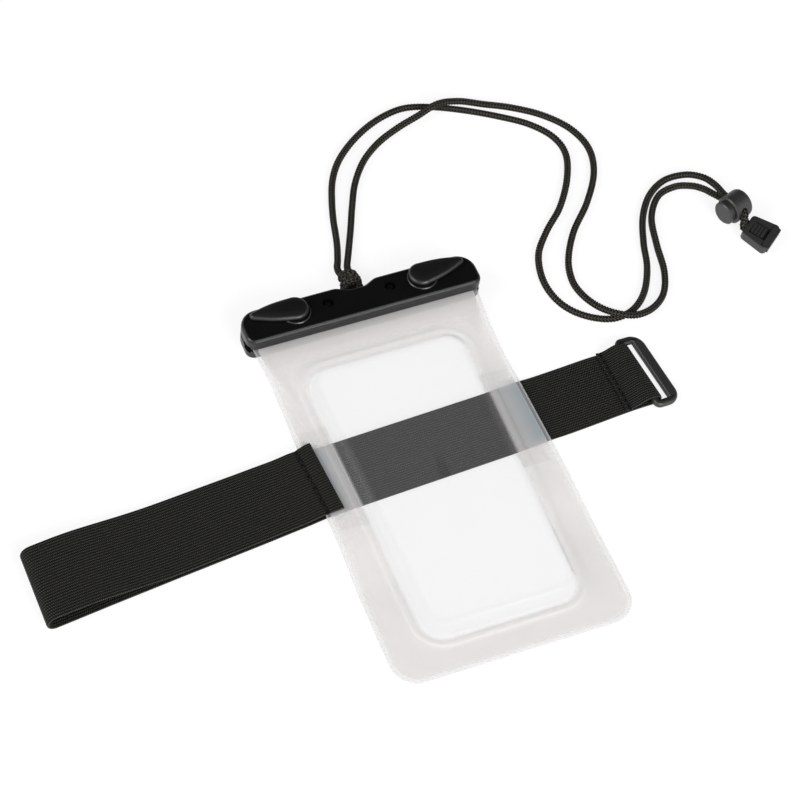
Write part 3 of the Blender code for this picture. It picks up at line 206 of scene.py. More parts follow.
class Shading:
    """A new material, with the nodes that its finish is built from."""

    def __init__(self, name: str) -> None:
        """Start a material.

        Args:
            name: Material's name.
        """
        self.material = bpy.data.materials.new(name)
        self.material.use_nodes = True
        self.tree = self.material.node_tree

    def add(self, kind: str, inputs: dict[str | int, Any] | None = None,
            **settings: Any) -> bpy.types.Node:
        """Add a node to this material."""
        return add_node(self.tree, kind, inputs, **settings)

    def place(self) -> Socket:
        """Place on the piece, in metres."""
        return self.add("ShaderNodeTexCoord").outputs["Object"]

    def attribute(self, name: str) -> Socket:
        """Number that the mesh stores at each vertex."""
        return self.add("ShaderNodeAttribute", attribute_name=name).outputs["Fac"]

    def noise(self, place: Socket, size: float,
              detail: float = 2.0) -> Socket:
        """Noise whose largest features have a given size."""
        return self.add("ShaderNodeTexNoise", {
            "Vector": place, "Scale": 1.0 / size, "Detail": detail,
        }).outputs["Fac"]

    def math(self, operation: str, *values: Any, clamp: bool = False) -> Socket:
        """Arithmetic on numbers and sockets."""
        return self.add("ShaderNodeMath", dict(enumerate(values)), operation=operation,
                        use_clamp=clamp).outputs[0]

    def blend(self, share: Socket, low: Any, high: Any) -> Socket:
        """Blend two colours, each a hex colour or a socket."""
        low, high = (linear(end) if isinstance(end, str) else end for end in (low, high))
        return self.add("ShaderNodeMix", {"Factor": share, 6: low, 7: high},
                        data_type="RGBA").outputs[2]

    def spread(self, value: Socket, low: float = 0.0, high: float = 1.0,
               start: float = 0.0, end: float = 1.0) -> Socket:
        """Map start..end of a value to low..high."""
        return self.add("ShaderNodeMapRange", {
            "Value": value, "From Min": start, "From Max": end, "To Min": low, "To Max": high,
        }).outputs["Result"]

    def bump(self, height: Socket, strength: float, distance: float,
             invert: bool = False) -> Socket:
        """Relief from a height."""
        return self.add("ShaderNodeBump", {
            "Height": height, "Strength": strength, "Distance": distance,
        }, invert=invert).outputs["Normal"]

    def finish(self, sockets: dict[str, Any]) -> Material:
        """Give the shader its sockets.

        Args:
            sockets: Socket name to a hex colour, a number or a socket to link.

        Returns:
            The finished material.
        """
        shader = self.tree.nodes["Principled BSDF"]
        for name, value in sockets.items():
            if isinstance(value, Socket):
                self.tree.links.new(value, shader.inputs[name])
            else:
                constant = linear(value) if isinstance(value, str) else value
                shader.inputs[name].default_value = constant
        return self.material


@dataclass(frozen=True)
class MouldedPlastic:
    """Black engineering plastic from a polished or spark-eroded mould.

    Args:
        name: Material's name.
        colour: Colour of the resin.
        wear_and_highlight: Lighter colour of the grain's tops.
        roughness: Roughness of the moulded skin.
        grain: Size of the mould's texture.
        depth: Depth of that texture.
        cloud: Size of the patches in which colour and gloss vary.
    """

    name: str
    colour: str
    wear_and_highlight: str
    roughness: float
    grain: float = 0.5 * MM
    depth: float = 0.02 * MM
    cloud: float = 18.0 * MM

    def make(self) -> Material:
        """Build the material: a dielectric skin with fine spark grain."""
        made = Shading(self.name)
        place = made.place()
        cloud = made.noise(place, self.cloud, 3.0)
        return made.finish({
            "Base Color": made.blend(cloud, self.colour, self.wear_and_highlight),
            "Roughness": made.spread(cloud, self.roughness - 0.05, self.roughness + 0.06),
            "Normal": made.bump(made.noise(place, self.grain), 0.5, self.depth),
            "IOR": 1.54,
        })


@dataclass(frozen=True)
class ClearFilm:
    """Calendered TPU film, milky where it is frosted and clear where drawn.

    The mesh's attribute "frost" is the opacity of one surface, "shade" is how
    far the milk turns to grey (the clear film's own tint, and painted shade near
    the clamp), and "behind" is how far painted shade darkens it over the elastic:
    frosted film shows the dark elastic only as a blur, and that blur is painted.

    Args:
        name: Material's name.
        milk: Colour of the frosted film.
        grey: Colour of the clear film, and the painted shade that the frosted film takes near the
            clamp.
        painted_strap_shade: Colour of the painted shade on the frosted film where the dark elastic lies
            behind it.
        zoned: Whether the mesh carries the three attributes.
        plain_alpha: Opacity of one surface where the mesh has no attributes.
        dent: Size of the film's soft dents.
        dent_depth: Depth of those dents.
    """

    name: str
    milk: str = "#e0dcdb"
    grey: str = "#a9a9ab"
    painted_strap_shade: str = "#a3abb0"
    zoned: bool = True
    plain_alpha: float = 0.05
    dent: float = 26.0 * MM
    dent_depth: float = 1.2 * MM

    def make(self) -> Material:
        """Build the material: thin film that the light passes, with soft dents."""
        made = Shading(self.name)
        dents = made.noise(made.place(), self.dent, 1.5)
        sockets = {"Normal": made.bump(dents, 0.35, self.dent_depth), "IOR": 1.50}
        if self.zoned:
            frost = made.attribute("frost")
            # Painted shade: the tint turns grey near the clamp, and the blend over the elastic stands
            # in for its blurred dark.
            tint = made.blend(made.attribute("shade"), self.milk, self.grey)
            sockets["Base Color"] = made.blend(made.attribute("behind"), tint, self.painted_strap_shade)
            sockets["Roughness"] = made.spread(frost, 0.12, 0.42, end=0.25)
            sockets["Alpha"] = frost
        else:
            sockets |= {"Base Color": self.milk, "Roughness": 0.25, "Alpha": self.plain_alpha}
        return made.finish(sockets)


@dataclass(frozen=True)
class WovenElastic:
    """Knitted black elastic: ribs along its length, crossed by fine picks.

    The colour is lighter on the ribs' tops and darker between them: painted
    highlight and painted shade. The mesh's attribute "seam" darkens it along
    each row of stitches: the dark thread under each stitch, and painted shade of
    the groove that the sewing draws in between them.

    Args:
        name: Material's name.
        shaded_valley: Colour between the ribs, darkened as painted shade.
        lit_ridge: Colour of the yarn on top, lightened with a painted highlight.
        rib: Spacing of the ribs.
        pick: Spacing of the cross yarns, drawn a little coarser than real.
        fuzz: Size of the fuzz on the yarn.
        depth: Height of the yarn's relief.
    """

    name: str = "Woven polyester elastic"
    shaded_valley: str = "#000000"
    lit_ridge: str = "#54534d"
    rib: float = ELASTIC_RIB
    pick: float = 0.9 * MM
    fuzz: float = 0.5 * MM
    depth: float = 0.28 * MM

    def make(self) -> Material:
        """Build the material from the ribbon's UV, which is in metres."""
        made = Shading(self.name)
        place = made.add("ShaderNodeUVMap", uv_map="yarn").outputs["UV"]
        split = made.add("ShaderNodeSeparateXYZ", {"Vector": place}).outputs
        across = made.math("MULTIPLY", split["Y"], math.tau / self.rib)
        along = made.math("MULTIPLY", split["X"], math.tau / self.pick)
        picks = made.math("SINE", made.math("MULTIPLY_ADD", across, 0.5, along))
        height = made.math("MULTIPLY_ADD", picks, 0.8, made.math("COSINE", across))
        level = made.spread(height, start=-0.3, end=1.7)
        # Painted highlight on the ribs' tops and painted shade between them, broken up by the fuzz.
        wear_and_highlight = made.math("MULTIPLY", level, made.noise(place, self.fuzz))
        # Darker along each stitch row: the thread under each stitch, painted shade of the groove
        # between them.
        sewn = made.math("SUBTRACT", wear_and_highlight, made.attribute("seam"), clamp=True)
        return made.finish({
            "Base Color": made.blend(sewn, self.shaded_valley, self.lit_ridge),
            "Normal": made.bump(level, 0.9, self.depth),
            "Roughness": 0.85, "Specular IOR Level": 0.15,
            "Sheen Weight": 0.03, "Sheen Roughness": 0.5,
        })


@dataclass(frozen=True)
class BraidedYarn:
    """Spun polyester yarn of a round braid, with a painted highlight on the tops of its strands and
    painted shade between them.

    Args:
        name: Material's name.
        shaded_valley: Colour between the strands, darkened as painted shade.
        lit_ridge: Colour of the strands' tops, lightened as a painted highlight.
        fibre: Size of the fibres, drawn coarser than real.
        depth: Height of the fibres' relief.
    """

    name: str = "Braided polyester cord"
    shaded_valley: str = "#000000"
    lit_ridge: str = "#87847a"
    fibre: float = 0.45 * MM
    depth: float = 0.12 * MM

    def make(self) -> Material:
        """Build the material from the braid's own relief."""
        made = Shading(self.name)
        fibre = made.noise(made.place(), self.fibre)
        # Painted highlight on the strands' tops, painted shade in their valleys.
        raised = made.math("MULTIPLY", made.attribute("relief"), fibre, clamp=True)
        return made.finish({
            "Base Color": made.blend(raised, self.shaded_valley, self.lit_ridge),
            "Normal": made.bump(fibre, 0.5, self.depth),
            "Roughness": 0.8, "Specular IOR Level": 0.05,
        })


@dataclass(frozen=True)
class BrushedPile:
    """Brushed nylon pile or hooks, matt and uneven.

    Args:
        name: Material's name.
        deep: Colour at the roots, darkened as painted shade between the tufts.
        tip: Colour of the tips.
        tuft: Size of one tuft.
        depth: Depth between the tufts.
    """

    name: str
    deep: str
    tip: str
    tuft: float
    depth: float = 0.3 * MM

    def make(self) -> Material:
        """Build the material: a rough pile of small cells."""
        made = Shading(self.name)
        cells = made.add("ShaderNodeTexVoronoi", {
            "Vector": made.place(), "Scale": 1.0 / self.tuft,
        }).outputs["Distance"]
        return made.finish({
            # Painted shade: darker between the tufts, where the cells' edges lie low.
            "Base Color": made.blend(cells, self.tip, self.deep),
            "Normal": made.bump(cells, 0.8, self.depth, invert=True),
            "Roughness": 0.95, "Specular IOR Level": 0.2,
        })


@dataclass(frozen=True)
class DrawnWire:
    """Drawn spring steel, bright with fine drawing lines.

    Args:
        name: Material's name.
        colour: Colour of the metal.
        lines: Spacing of the drawing lines.
    """

    name: str = "Drawn spring steel"
    colour: str = "#b9bbbd"
    lines: float = 0.3 * MM

    def make(self) -> Material:
        """Build the material: bare metal with slightly uneven polish."""
        made = Shading(self.name)
        lines = made.noise(made.place(), self.lines)
        return made.finish({
            "Base Color": self.colour, "Metallic": 1.0, "Roughness": made.spread(lines, 0.22, 0.4),
        })


@dataclass(frozen=True)
class SewingThread:
    """Twisted black sewing thread, flat in its stitches.

    Args:
        name: Material's name.
        colour: Colour of the thread.
        twist: Scale of the twist.
        depth: Depth between the twisted plies.
    """

    name: str = "Twisted sewing thread"
    colour: str = "#050505"
    twist: float = 6.0 * MM
    depth: float = 0.1 * MM

    def make(self) -> Material:
        """Build the material: matt thread with a slight twist."""
        made = Shading(self.name)
        twist = made.add("ShaderNodeTexWave", {
            "Vector": made.place(), "Scale": 1.0 / self.twist, "Distortion": 1.0,
        }).outputs["Fac"]
        return made.finish({
            "Base Color": self.colour, "Roughness": 0.75,
            "Normal": made.bump(twist, 0.4, self.depth),
        })


def tube_faces(rings: int, count: int, caps: tuple[bool, bool] = (True, True),
               closed: bool = False, flip: bool = False) -> list[tuple[int, ...]]:
    """Faces of a tube of rings that all have the same count of points.

    Args:
        rings: Number of rings.
        count: Points of each ring.
        caps: Whether the first and the last ring are closed by a face.
        closed: Whether the last ring joins the first one.
        flip: Whether the faces look the other way.

    Returns:
        Vertex indices of each face.
    """
    faces = []
    for level in range(rings if closed else rings - 1):
        here, there = level * count, (level + 1) % rings * count
        for side in range(count):
            after = (side + 1) % count
            face = (here + side, here + after, there + after, there + side)
            faces.append((face[0], *face[:0:-1]) if flip else face)
    for wanted, ring, turned in ((caps[0], 0, not flip), (caps[1], rings - 1, flip)):
        if wanted and not closed:
            cap = tuple(range(ring * count, (ring + 1) * count))
            faces.append(cap[::-1] if turned else cap)
    return faces


def mesh_object(
    name: str,
    points: np.ndarray,
    faces: Sequence[Sequence[int]],
    material: Material,
) -> Object:
    """Make a smooth mesh object in the scene.

    Args:
        name: Name of the piece.
        points: Vertex positions, one row each.
        faces: Vertex indices of each face.
        material: Its material.

    Returns:
        The new object.
    """
    mesh = bpy.data.meshes.new(name)
    mesh.from_pydata([tuple(point) for point in points], [], [tuple(face) for face in faces])
    mesh.validate()
    mesh.shade_smooth()
    obj = bpy.data.objects.new(name, mesh)
    bpy.context.scene.collection.objects.link(obj)
    obj.data.materials.append(material)
    return obj


def set_attribute(obj: Object, name: str, values: np.ndarray) -> None:
    """Store one number for each vertex of an object.

    Args:
        obj: Object with a mesh.
        name: Attribute's name.
        values: One value for each vertex.
    """
    layer = obj.data.attributes.new(name, "FLOAT", "POINT")
    layer.data.foreach_set("value", np.asarray(values, np.float32))


def apply_modifiers(obj: Object) -> None:
    """Replace an object's mesh by its evaluated one."""
    bpy.context.view_layer.update()
    evaluated = obj.evaluated_get(bpy.context.evaluated_depsgraph_get())
    mesh = bpy.data.meshes.new_from_object(evaluated)
    obj.modifiers.clear()
    obj.data = mesh


def dress(nodes: Sequence[str], material: Material) -> None:
    """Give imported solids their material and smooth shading.

    Args:
        nodes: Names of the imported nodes.
        material: Material that all of them take.
    """
    for name in nodes:
        obj = bpy.data.objects[name]
        obj.data.materials.clear()
        obj.data.materials.append(material)
        obj.data.shade_smooth()
        obj.data.set_sharp_from_angle(angle=math.radians(34.0))
        LOG.info("dressed %s as %s", name, material.name)


@dataclass
class Braid:
    """A round braid swept along a line, with the relief of its strands.

    Args:
        radius: Mean radius of the cord.
        relief: Height of the strands' tops over their valleys.
        wales: Columns of chevrons round the girth.
        chevron: Distance from one chevron to the next.
        slant: How far a chevron's arms trail behind its point, in chevrons.
        sides: Points round the girth.
        step: Distance between rings.
    """

    radius: float = CORD_DIAMETER / 2.0 + 0.02 * MM
    relief: float = 0.42 * MM
    wales: int = 6
    chevron: float = 1.6 * MM
    slant: float = 0.75
    sides: int = 24
    step: float = 0.27 * MM

    def sweep(self, line: np.ndarray, closed: bool = False) -> tuple[np.ndarray, list, np.ndarray]:
        """Sweep the braid along evenly spaced points.

        Args:
            line: Points of the centre line.
            closed: Whether the line ends where it starts.

        Returns:
            Vertex positions, faces and the relief at each vertex.
        """
        count = len(line)
        if closed:
            tangents = np.roll(line, -1, axis=0) - np.roll(line, 1, axis=0)
        else:
            tangents = np.gradient(line, axis=0)
        tangents /= np.linalg.norm(tangents, axis=1)[:, None]
        normal = np.cross(tangents[0], (0.0, 0.0, 1.0))
        if np.linalg.norm(normal) < 0.1:
            normal = np.cross(tangents[0], (1.0, 0.0, 0.0))
        angles = np.arange(self.sides) * math.tau / self.sides
        walked = 0.0
        rings, reliefs = [], []
        for index in range(count):
            normal = normal - tangents[index] * np.dot(normal, tangents[index])
            normal /= np.linalg.norm(normal)
            other = np.cross(tangents[index], normal)
            if index:
                walked += float(np.linalg.norm(line[index] - line[index - 1]))
            place = angles * self.wales / math.tau
            aside = np.abs(2.0 * (place - np.floor(place)) - 1.0)
            phase = math.tau * (walked / self.chevron - self.slant * aside)
            height = (1.0 - 0.85 * aside ** 3) * (0.5 + 0.5 * np.cos(phase)) ** 3.5
            radius = self.radius + self.relief * (height - 0.5)
            ring = (line[index] + np.outer(np.cos(angles) * radius, normal)
                    + np.outer(np.sin(angles) * radius, other))
            rings.append(ring)
            reliefs.append(height)
        faces = tube_faces(count, self.sides, closed=closed)
        return np.vstack(rings), faces, np.concatenate(reliefs)


@dataclass
class CordLockFrame:
    """Where the cord lock and the end clip hold the two strands.

    Args:
        rim: Centre of the barrel's open rim in plan.
        angle: Direction of the barrel's axis.
        radius: Radius of the barrel, which lies on the table.
        cord_offset: Distance of the cords from the rim, along the barrel.
        cord_exit: How far the strands run past the barrel's axis.
        lead: How far the strands run straight on past the barrel.
        bulge: How far they spread between the barrel and the clip, as a share.
        clip_entry: Middle of the end clip's near face in plan.
        clip_angle: Direction of the end clip in plan.
        clip_tilt: How far the end clip leans down to the table.
        clip_reach: Length of the end clip with its cap.
        clip_thickness: Thickness of the end clip.
        clip_depth: How far the strands reach into the end clip.
        pitch: Distance between the centres of the two strands.
    """

    rim: tuple[float, float] = (201.65 * MM, -4.3 * MM)
    angle: float = math.radians(18.0)
    radius: float = 7.6 * MM
    cord_offset: float = 4.4 * MM
    cord_exit: float = 6.5 * MM
    lead: float = 0.8 * MM
    bulge: float = 0.16
    clip_entry: tuple[float, float] = (207.9 * MM, -14.2 * MM)
    clip_angle: float = math.radians(-52.5)
    clip_tilt: float = math.radians(6.0)
    clip_reach: float = 16.3 * MM
    clip_thickness: float = 5.2 * MM
    clip_depth: float = 1.7 * MM
    pitch: float = 4.05 * MM

    def lock(self) -> Matrix:
        """Frame of the lock: Z along the barrel, X the way the cords run."""
        along = Vector((math.cos(self.angle), math.sin(self.angle), 0.0))
        run = Vector((math.sin(self.angle), -math.cos(self.angle), 0.0))
        matrix = Matrix((run, along.cross(run), along)).transposed().to_4x4()
        matrix.translation = Vector((*self.rim, self.radius))
        return matrix

    def clip(self) -> Matrix:
        """Frame of the end clip: X away from the cords."""
        height = (self.clip_reach * math.sin(self.clip_tilt)
                  + self.clip_thickness / 2.0 * math.cos(self.clip_tilt))
        return (Matrix.Translation((*self.clip_entry, height))
                @ Matrix.Rotation(self.clip_angle, 4, "Z")
                @ Matrix.Rotation(self.clip_tilt, 4, "Y"))

    def run(self, side: int) -> list[Vector]:
        """Points of one strand from the lock's mouth into the end clip.

        Args:
            side: -1 for the upper strand and 1 for the lower one.

        Returns:
            Points in the model's frame.
        """
        lock, clip = self.lock(), self.clip()
        drop = side * self.pitch / 2.0
        points = [lock @ Vector((reach, drop, self.cord_offset))
                  for reach in (-self.radius - 1.0 * MM, -3.0 * MM, 3.0 * MM, self.cord_exit)]
        start = lock @ Vector((self.cord_exit + FIT + self.lead, 0.0, self.cord_offset))
        end = clip @ Vector((-FIT, 0.0, 0.0))
        run_out = lock.to_3x3() @ Vector((1.0, 0.0, 0.0))
        run_in = clip.to_3x3() @ Vector((1.0, 0.0, 0.0))
        upright = lock.to_3x3() @ Vector((0.0, 1.0, 0.0))
        across = clip.to_3x3() @ Vector((0.0, 1.0, 0.0))
        pull = (end - start).length
        for step in range(7):
            t = step / 6
            centre = ((2 * t ** 3 - 3 * t ** 2 + 1) * start
                      + (t ** 3 - 2 * t ** 2 + t) * run_out * pull
                      + (3 * t ** 2 - 2 * t ** 3) * end + (t ** 3 - t ** 2) * run_in * pull)
            turn = t * math.pi / 2.0
            spread = self.pitch / 2.0 * (1.0 + self.bulge * math.sin(2.0 * turn))
            offset = upright * math.cos(turn) + across * math.sin(turn)
            points.append(centre + offset.normalized() * (side * spread))
        points.append(clip @ Vector((self.clip_depth, drop, 0.0)))
        return points


@dataclass
class Lanyard:
    """The doubled neck cord: two strands, their knot and the bight behind it.

    Args:
        route_a: Route of the strand that lies beneath, in millimetres.
        route_b: Route of the strand that crosses over it, in millimetres.
        braid: The cord's braid.
        frame: Where the lock and the clip hold the strands.
        lying: Height of the strand's middle, in millimetres, where the route gives none.
        centre_x: Middle of the knot and of its bight, along the clamp.
        knot_y: Middle of the knot, behind the clamp.
        pin_y: Middle of the pin that the bight turns round.
        pin_radius: Radius of that pin.
        height: Height of the bight and the knot's middle.
        wrap_radius: Radius of the ball that the wraps' centre lines lie on.
        wraps: Heading of each wrap in degrees, and its shift in x and in y.
    """

    route_a: tuple[tuple[float, ...], ...] = (
        (0.2, 18.6, 6.6), (-1.6, 22.7, 5.5), (-0.7, 28.2, 2.9), (1.7, 33.5, 1.78),
        (5.3, 43.9), (9.0, 58.3), (13.1, 71.0), (18.0, 82.5),
        (25.0, 92.8), (35.5, 102.3), (47.5, 109.8), (59.9, 114.6),
        (72.0, 116.0), (85.4, 112.3), (101.3, 104.6), (116.5, 95.3),
        (129.5, 85.5), (138.2, 73.5), (139.7, 60.5), (133.4, 45.0),
        (122.5, 29.3), (109.7, 17.0), (100.0, 5.0), (95.5, -9.5),
        (96.2, -22.5), (101.0, -33.0), (109.8, -41.0), (120.2, -44.9),
        (131.3, -42.7), (141.2, -34.3), (149.2, -20.3), (154.0, -5.5),
        (160.8, 10.0), (170.0, 21.8), (181.5, 28.4, 1.9), (193.0, 27.6, 3.0),
        (199.8, 21.3, 5.6), (202.2, 13.0, 8.4),
    )
    route_b: tuple[tuple[float, ...], ...] = (
        (1.2, 18.6, 6.6), (2.9, 22.7, 5.5), (4.6, 28.0, 2.8), (8.5, 36.0, 1.78),
        (15.1, 49.8), (21.3, 63.4), (28.0, 76.6), (37.5, 89.0),
        (49.5, 98.3), (63.0, 104.4, 2.1), (75.5, 107.4, 4.0), (87.5, 110.3, 5.75),
        (99.5, 110.0, 3.9), (111.8, 105.6, 2.0), (125.2, 98.9), (139.0, 88.8),
        (149.2, 75.6), (152.8, 60.5), (148.5, 44.5), (137.1, 27.7),
        (122.5, 12.0), (112.8, -3.5), (109.3, -16.0, 1.8), (110.2, -26.5, 2.5),
        (113.9, -37.0, 4.4), (120.6, -45.0, 5.8), (130.3, -48.2, 4.5), (141.2, -45.2, 2.2),
        (150.2, -38.2), (156.4, -25.6), (160.0, -8.5), (164.9, 8.2),
        (174.0, 19.8), (184.5, 22.5, 2.3), (192.6, 19.4, 3.6), (197.2, 14.6, 4.9),
        (199.8, 10.0, 5.7),
    )
    braid: Braid = field(default_factory=Braid)
    frame: CordLockFrame = field(default_factory=CordLockFrame)
    lying: float = 1.77
    centre_x: float = 0.6 * MM
    knot_y: float = 16.0 * MM
    pin_y: float = 4.2 * MM
    pin_radius: float = 1.7 * MM
    height: float = 7.0 * MM
    wrap_radius: float = 4.15 * MM
    wraps: tuple[tuple[float, float, float], ...] = (
        (62.0, -2.3 * MM, 0.3 * MM), (118.0, 2.3 * MM, 0.3 * MM),
        (4.0, 0.0, -2.6 * MM), (-6.0, 0.2 * MM, 2.5 * MM),
    )

    def strand(self, name: str, route: Sequence[Sequence[float]], side: int,
               material: Material) -> Object:
        """Args:
            name: Letter of the strand.
            route: Its points in millimetres.
            side: -1 for the upper strand in the lock and 1 for the lower one.
            material: The yarn.

        Returns:
            The braided piece.
        """
        points = [np.array((*point, self.lying)[:3]) * MM for point in route]
        points += [np.array(point) for point in self.frame.run(side)]
        line = smooth_line(points, self.braid.step)
        corners, faces, relief = self.braid.sweep(line)
        piece = mesh_object(f"braided_cord_{name}", corners, faces, material)
        set_attribute(piece, "relief", relief)
        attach(piece, BODY)
        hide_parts(f"lanyard_cord_{name}", f"cord_tail_{name}")
        LOG.info("made strand %s, %.3f m long", name, line_length(line))
        return piece

    def knot(self, material: Material) -> Object:
        """Make the wrapped knot and the bight that turns round the pin.

        Args:
            material: The yarn.

        Returns:
            The knotted piece.
        """
        parts = []
        middle = np.array((self.centre_x, self.knot_y, self.height))
        for turn, shift_x, shift_y in self.wraps:
            heading = math.radians(turn)
            away = np.array((math.cos(heading), math.sin(heading), 0.0))
            offset = np.array((shift_x, shift_y, 0.0))
            radius = math.sqrt(self.wrap_radius ** 2 - float(offset @ offset))
            steps = int(math.tau * radius / self.braid.step)
            angles = np.arange(steps) * math.tau / steps
            ring = (middle + offset + np.outer(np.cos(angles) * radius, away)
                    + np.outer(np.sin(angles) * radius, (0.0, 0.0, 1.0)))
            parts.append(self.braid.sweep(ring, closed=True))
        core = smooth_line([middle - (3.0 * MM, 0.0, 0.0), middle + (3.0 * MM, 0.0, 0.0)],
                           self.braid.step)
        parts.append(Braid(radius=self.wrap_radius, relief=0.0).sweep(core))
        reach = self.pin_radius + FIT + CORD_DIAMETER / 2.0
        bight = [(self.centre_x - reach, self.knot_y - 1.0 * MM, self.height),
                 (self.centre_x - reach, 9.0 * MM, self.height)]
        for step in range(13):
            angle = math.pi + math.pi * step / 12
            bight.append((self.centre_x + reach * math.cos(angle),
                          self.pin_y + reach * math.sin(angle), self.height))
        bight += [(self.centre_x + reach, 9.0 * MM, self.height),
                  (self.centre_x + reach, self.knot_y - 1.0 * MM, self.height)]
        parts.append(self.braid.sweep(smooth_line(bight, self.braid.step)))
        faces, shift = [], 0
        for corners, sides, _ in parts:
            faces += [tuple(index + shift for index in face) for face in sides]
            shift += len(corners)
        piece = mesh_object("knotted_bight", np.vstack([part[0] for part in parts]), faces, material)
        set_attribute(piece, "relief", np.concatenate([part[2] for part in parts]))
        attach(piece, BODY)
        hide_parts("lanyard_knot")
        LOG.info("made the knot")
        return piece

    def build(self, material: Material) -> None:
        """Make both strands and the knot."""
        self.strand("a", self.route_a, -1, material)
        self.strand("b", self.route_b, 1, material)
        self.knot(material)


@dataclass
class Pouch:
    """The two welded films, with the tray drawn into the front one.

    Args:
        half_width: Half width of the films.
        bottom_y: Bottom edge.
        top_y: Top edge, inside the clamp.
        corner: Radius of the bottom corners.
        weld: Width of the clear welded border.
        tray_top: Foot of the tray's wall towards the clamp.
        tray_bottom: Foot of the tray's wall at the other end.
        tray_half_top: Half width of the tray's foot towards the clamp.
        tray_half_bottom: Half width of the tray's foot at the other end.
        tray_corner: Radius of the tray's corners.
        tray_height: Height of the tray's roof over the table.
        wall_run: Width of the wall in plan.
        plinth_run: Width of the raised border round the tray.
        plinth_rise: Height of that border.
        mouth: Height of the films in the clamp.
        mouth_run: Length over which they come down from the clamp to the elastic.
        table_from: Where they start to come down from the elastic to the table.
        table_run: Length over which they do.
        frosted: Opacity of one frosted surface.
        clear: Opacity of one clear surface.
        welded: Opacity of one surface of the welded border.
        cut_edge: Opacity of one surface along the cut edge.
        near_from: Where the film starts to turn milky and, as painted shade, grey towards the clamp.
        near_run: Length over which it does.
        near_frost: Opacity that one surface gains there.
        strap_shade_half: Half width of the darker film over the elastic.
        strap_shade_from: Distance from the middle at which that film starts to darken fully.
        strap_shade_run: Length over which it does.
        strap_shade_frost: Opacity of one surface over the elastic.
        blur: Half width of the soft edge of what frosted film lets through.
    """

    half_width: float = 60.7 * MM
    bottom_y: float = -205.7 * MM
    top_y: float = -2.4 * MM
    corner: float = 13.0 * MM
    weld: float = 2.4 * MM
    tray_top: float = -30.0 * MM
    tray_bottom: float = -187.5 * MM
    tray_half_top: float = 41.8 * MM
    tray_half_bottom: float = 39.3 * MM
    tray_corner: float = 11.0 * MM
    tray_height: float = 10.0 * MM
    wall_run: float = 3.4 * MM
    plinth_run: float = 5.0 * MM
    plinth_rise: float = 0.7 * MM
    mouth: float = 5.9 * MM
    mouth_run: float = 42.3 * MM
    table_from: float = -124.0 * MM
    table_run: float = 32.0 * MM
    frosted: float = 0.25
    clear: float = 0.04
    welded: float = 0.11
    cut_edge: float = 0.2
    near_from: float = -26.0 * MM
    near_run: float = 16.0 * MM
    near_frost: float = 0.25
    # strap_shade_half: Half width of the painted shade of the elastic on the front film.
    # strap_shade_from: Distance from the middle at which that painted shade starts to reach full
    # strength.
    strap_shade_half: float = 18.8 * MM
    strap_shade_from: float = 46.0 * MM
    strap_shade_run: float = 9.0 * MM
    strap_shade_frost: float = 0.66
    blur: float = 2.6 * MM

    def back_height(self, y: float) -> float:
        """Height of the back film's underside along the pouch."""
        from_mouth = ease((CLAMP_FRONT_Y - y) / self.mouth_run)
        to_table = ease((self.table_from - y) / self.table_run)
        over_strap = FILM_STEP + STRAP_THICKNESS + FIT
        return (self.mouth + (over_strap - self.mouth) * from_mouth) * (1.0 - to_table)

    def flange_height(self, y: float) -> float:
        """Height of the front film's underside on its flange."""
        return self.back_height(y) + FILM_STEP

    def draw_in(self, ring: np.ndarray) -> np.ndarray:
        """Draw a ring of the films' edge in at the waist."""
        places, halves = np.array(FILM_WAIST).T
        share = np.interp(ring[:, 1] / MM, places, halves) * MM / self.half_width
        return np.column_stack([ring[:, 0] * share, ring[:, 1]])

    def outline(self, half_top: float, half_bottom: float, y_top: float, y_bottom: float,
                corner_top: float, corner_bottom: float) -> np.ndarray:
        """Points of one ring in plan, every ring with the same count.

        Args:
            half_top: Half width towards the clamp.
            half_bottom: Half width at the other end.
            y_top: End towards the clamp.
            y_bottom: The other end.
            corner_top: Corner radius towards the clamp.
            corner_bottom: Corner radius at the other end.

        Returns:
            Points of the ring, in order.
        """
        corners = (
            (-half_top + corner_top, y_top - corner_top, corner_top, 90.0),
            (-half_bottom + corner_bottom, y_bottom + corner_bottom, corner_bottom, 180.0),
            (half_bottom - corner_bottom, y_bottom + corner_bottom, corner_bottom, 270.0),
            (half_top - corner_top, y_top - corner_top, corner_top, 0.0),
        )
        arcs = []
        for x, y, radius, first in corners:
            angles = np.radians(first + np.linspace(0.0, 90.0, 13))
            arcs.append(np.column_stack([x + radius * np.cos(angles), y + radius * np.sin(angles)]))
        points = []
        for index, arc in enumerate(arcs):
            points.append(arc)
            after = arcs[(index + 1) % 4][0]
            count = 18 if index % 2 else 40
            shares = np.linspace(0.0, 1.0, count + 2)[1:-1, None]
            points.append(arc[-1] + (after - arc[-1]) * shares)
        return np.vstack(points)

    def film_ring(self, inset: float) -> np.ndarray:
        """Ring at a distance inside the films' edge."""
        return self.draw_in(self.outline(
            self.half_width - inset, self.half_width - inset,
            self.top_y - inset * 1.6, self.bottom_y + inset,
            max(1.0 * MM, 2.0 * MM - inset), max(self.corner - inset, 2.0 * MM),
        ))

    def tray_ring(self, inset: float) -> np.ndarray:
        """Ring at a distance inside the foot of the tray's wall."""
        radius = max(self.tray_corner - inset, 1.5 * MM)
        return self.outline(
            self.tray_half_top - inset, self.tray_half_bottom - inset,
            self.tray_top - inset, self.tray_bottom + inset, radius, radius,
        )

    def lift(self, ring: np.ndarray, height: Callable[[float], float]) -> np.ndarray:
        """Give a plan ring its heights."""
        return np.array([(x, y, height(y)) for x, y in ring])

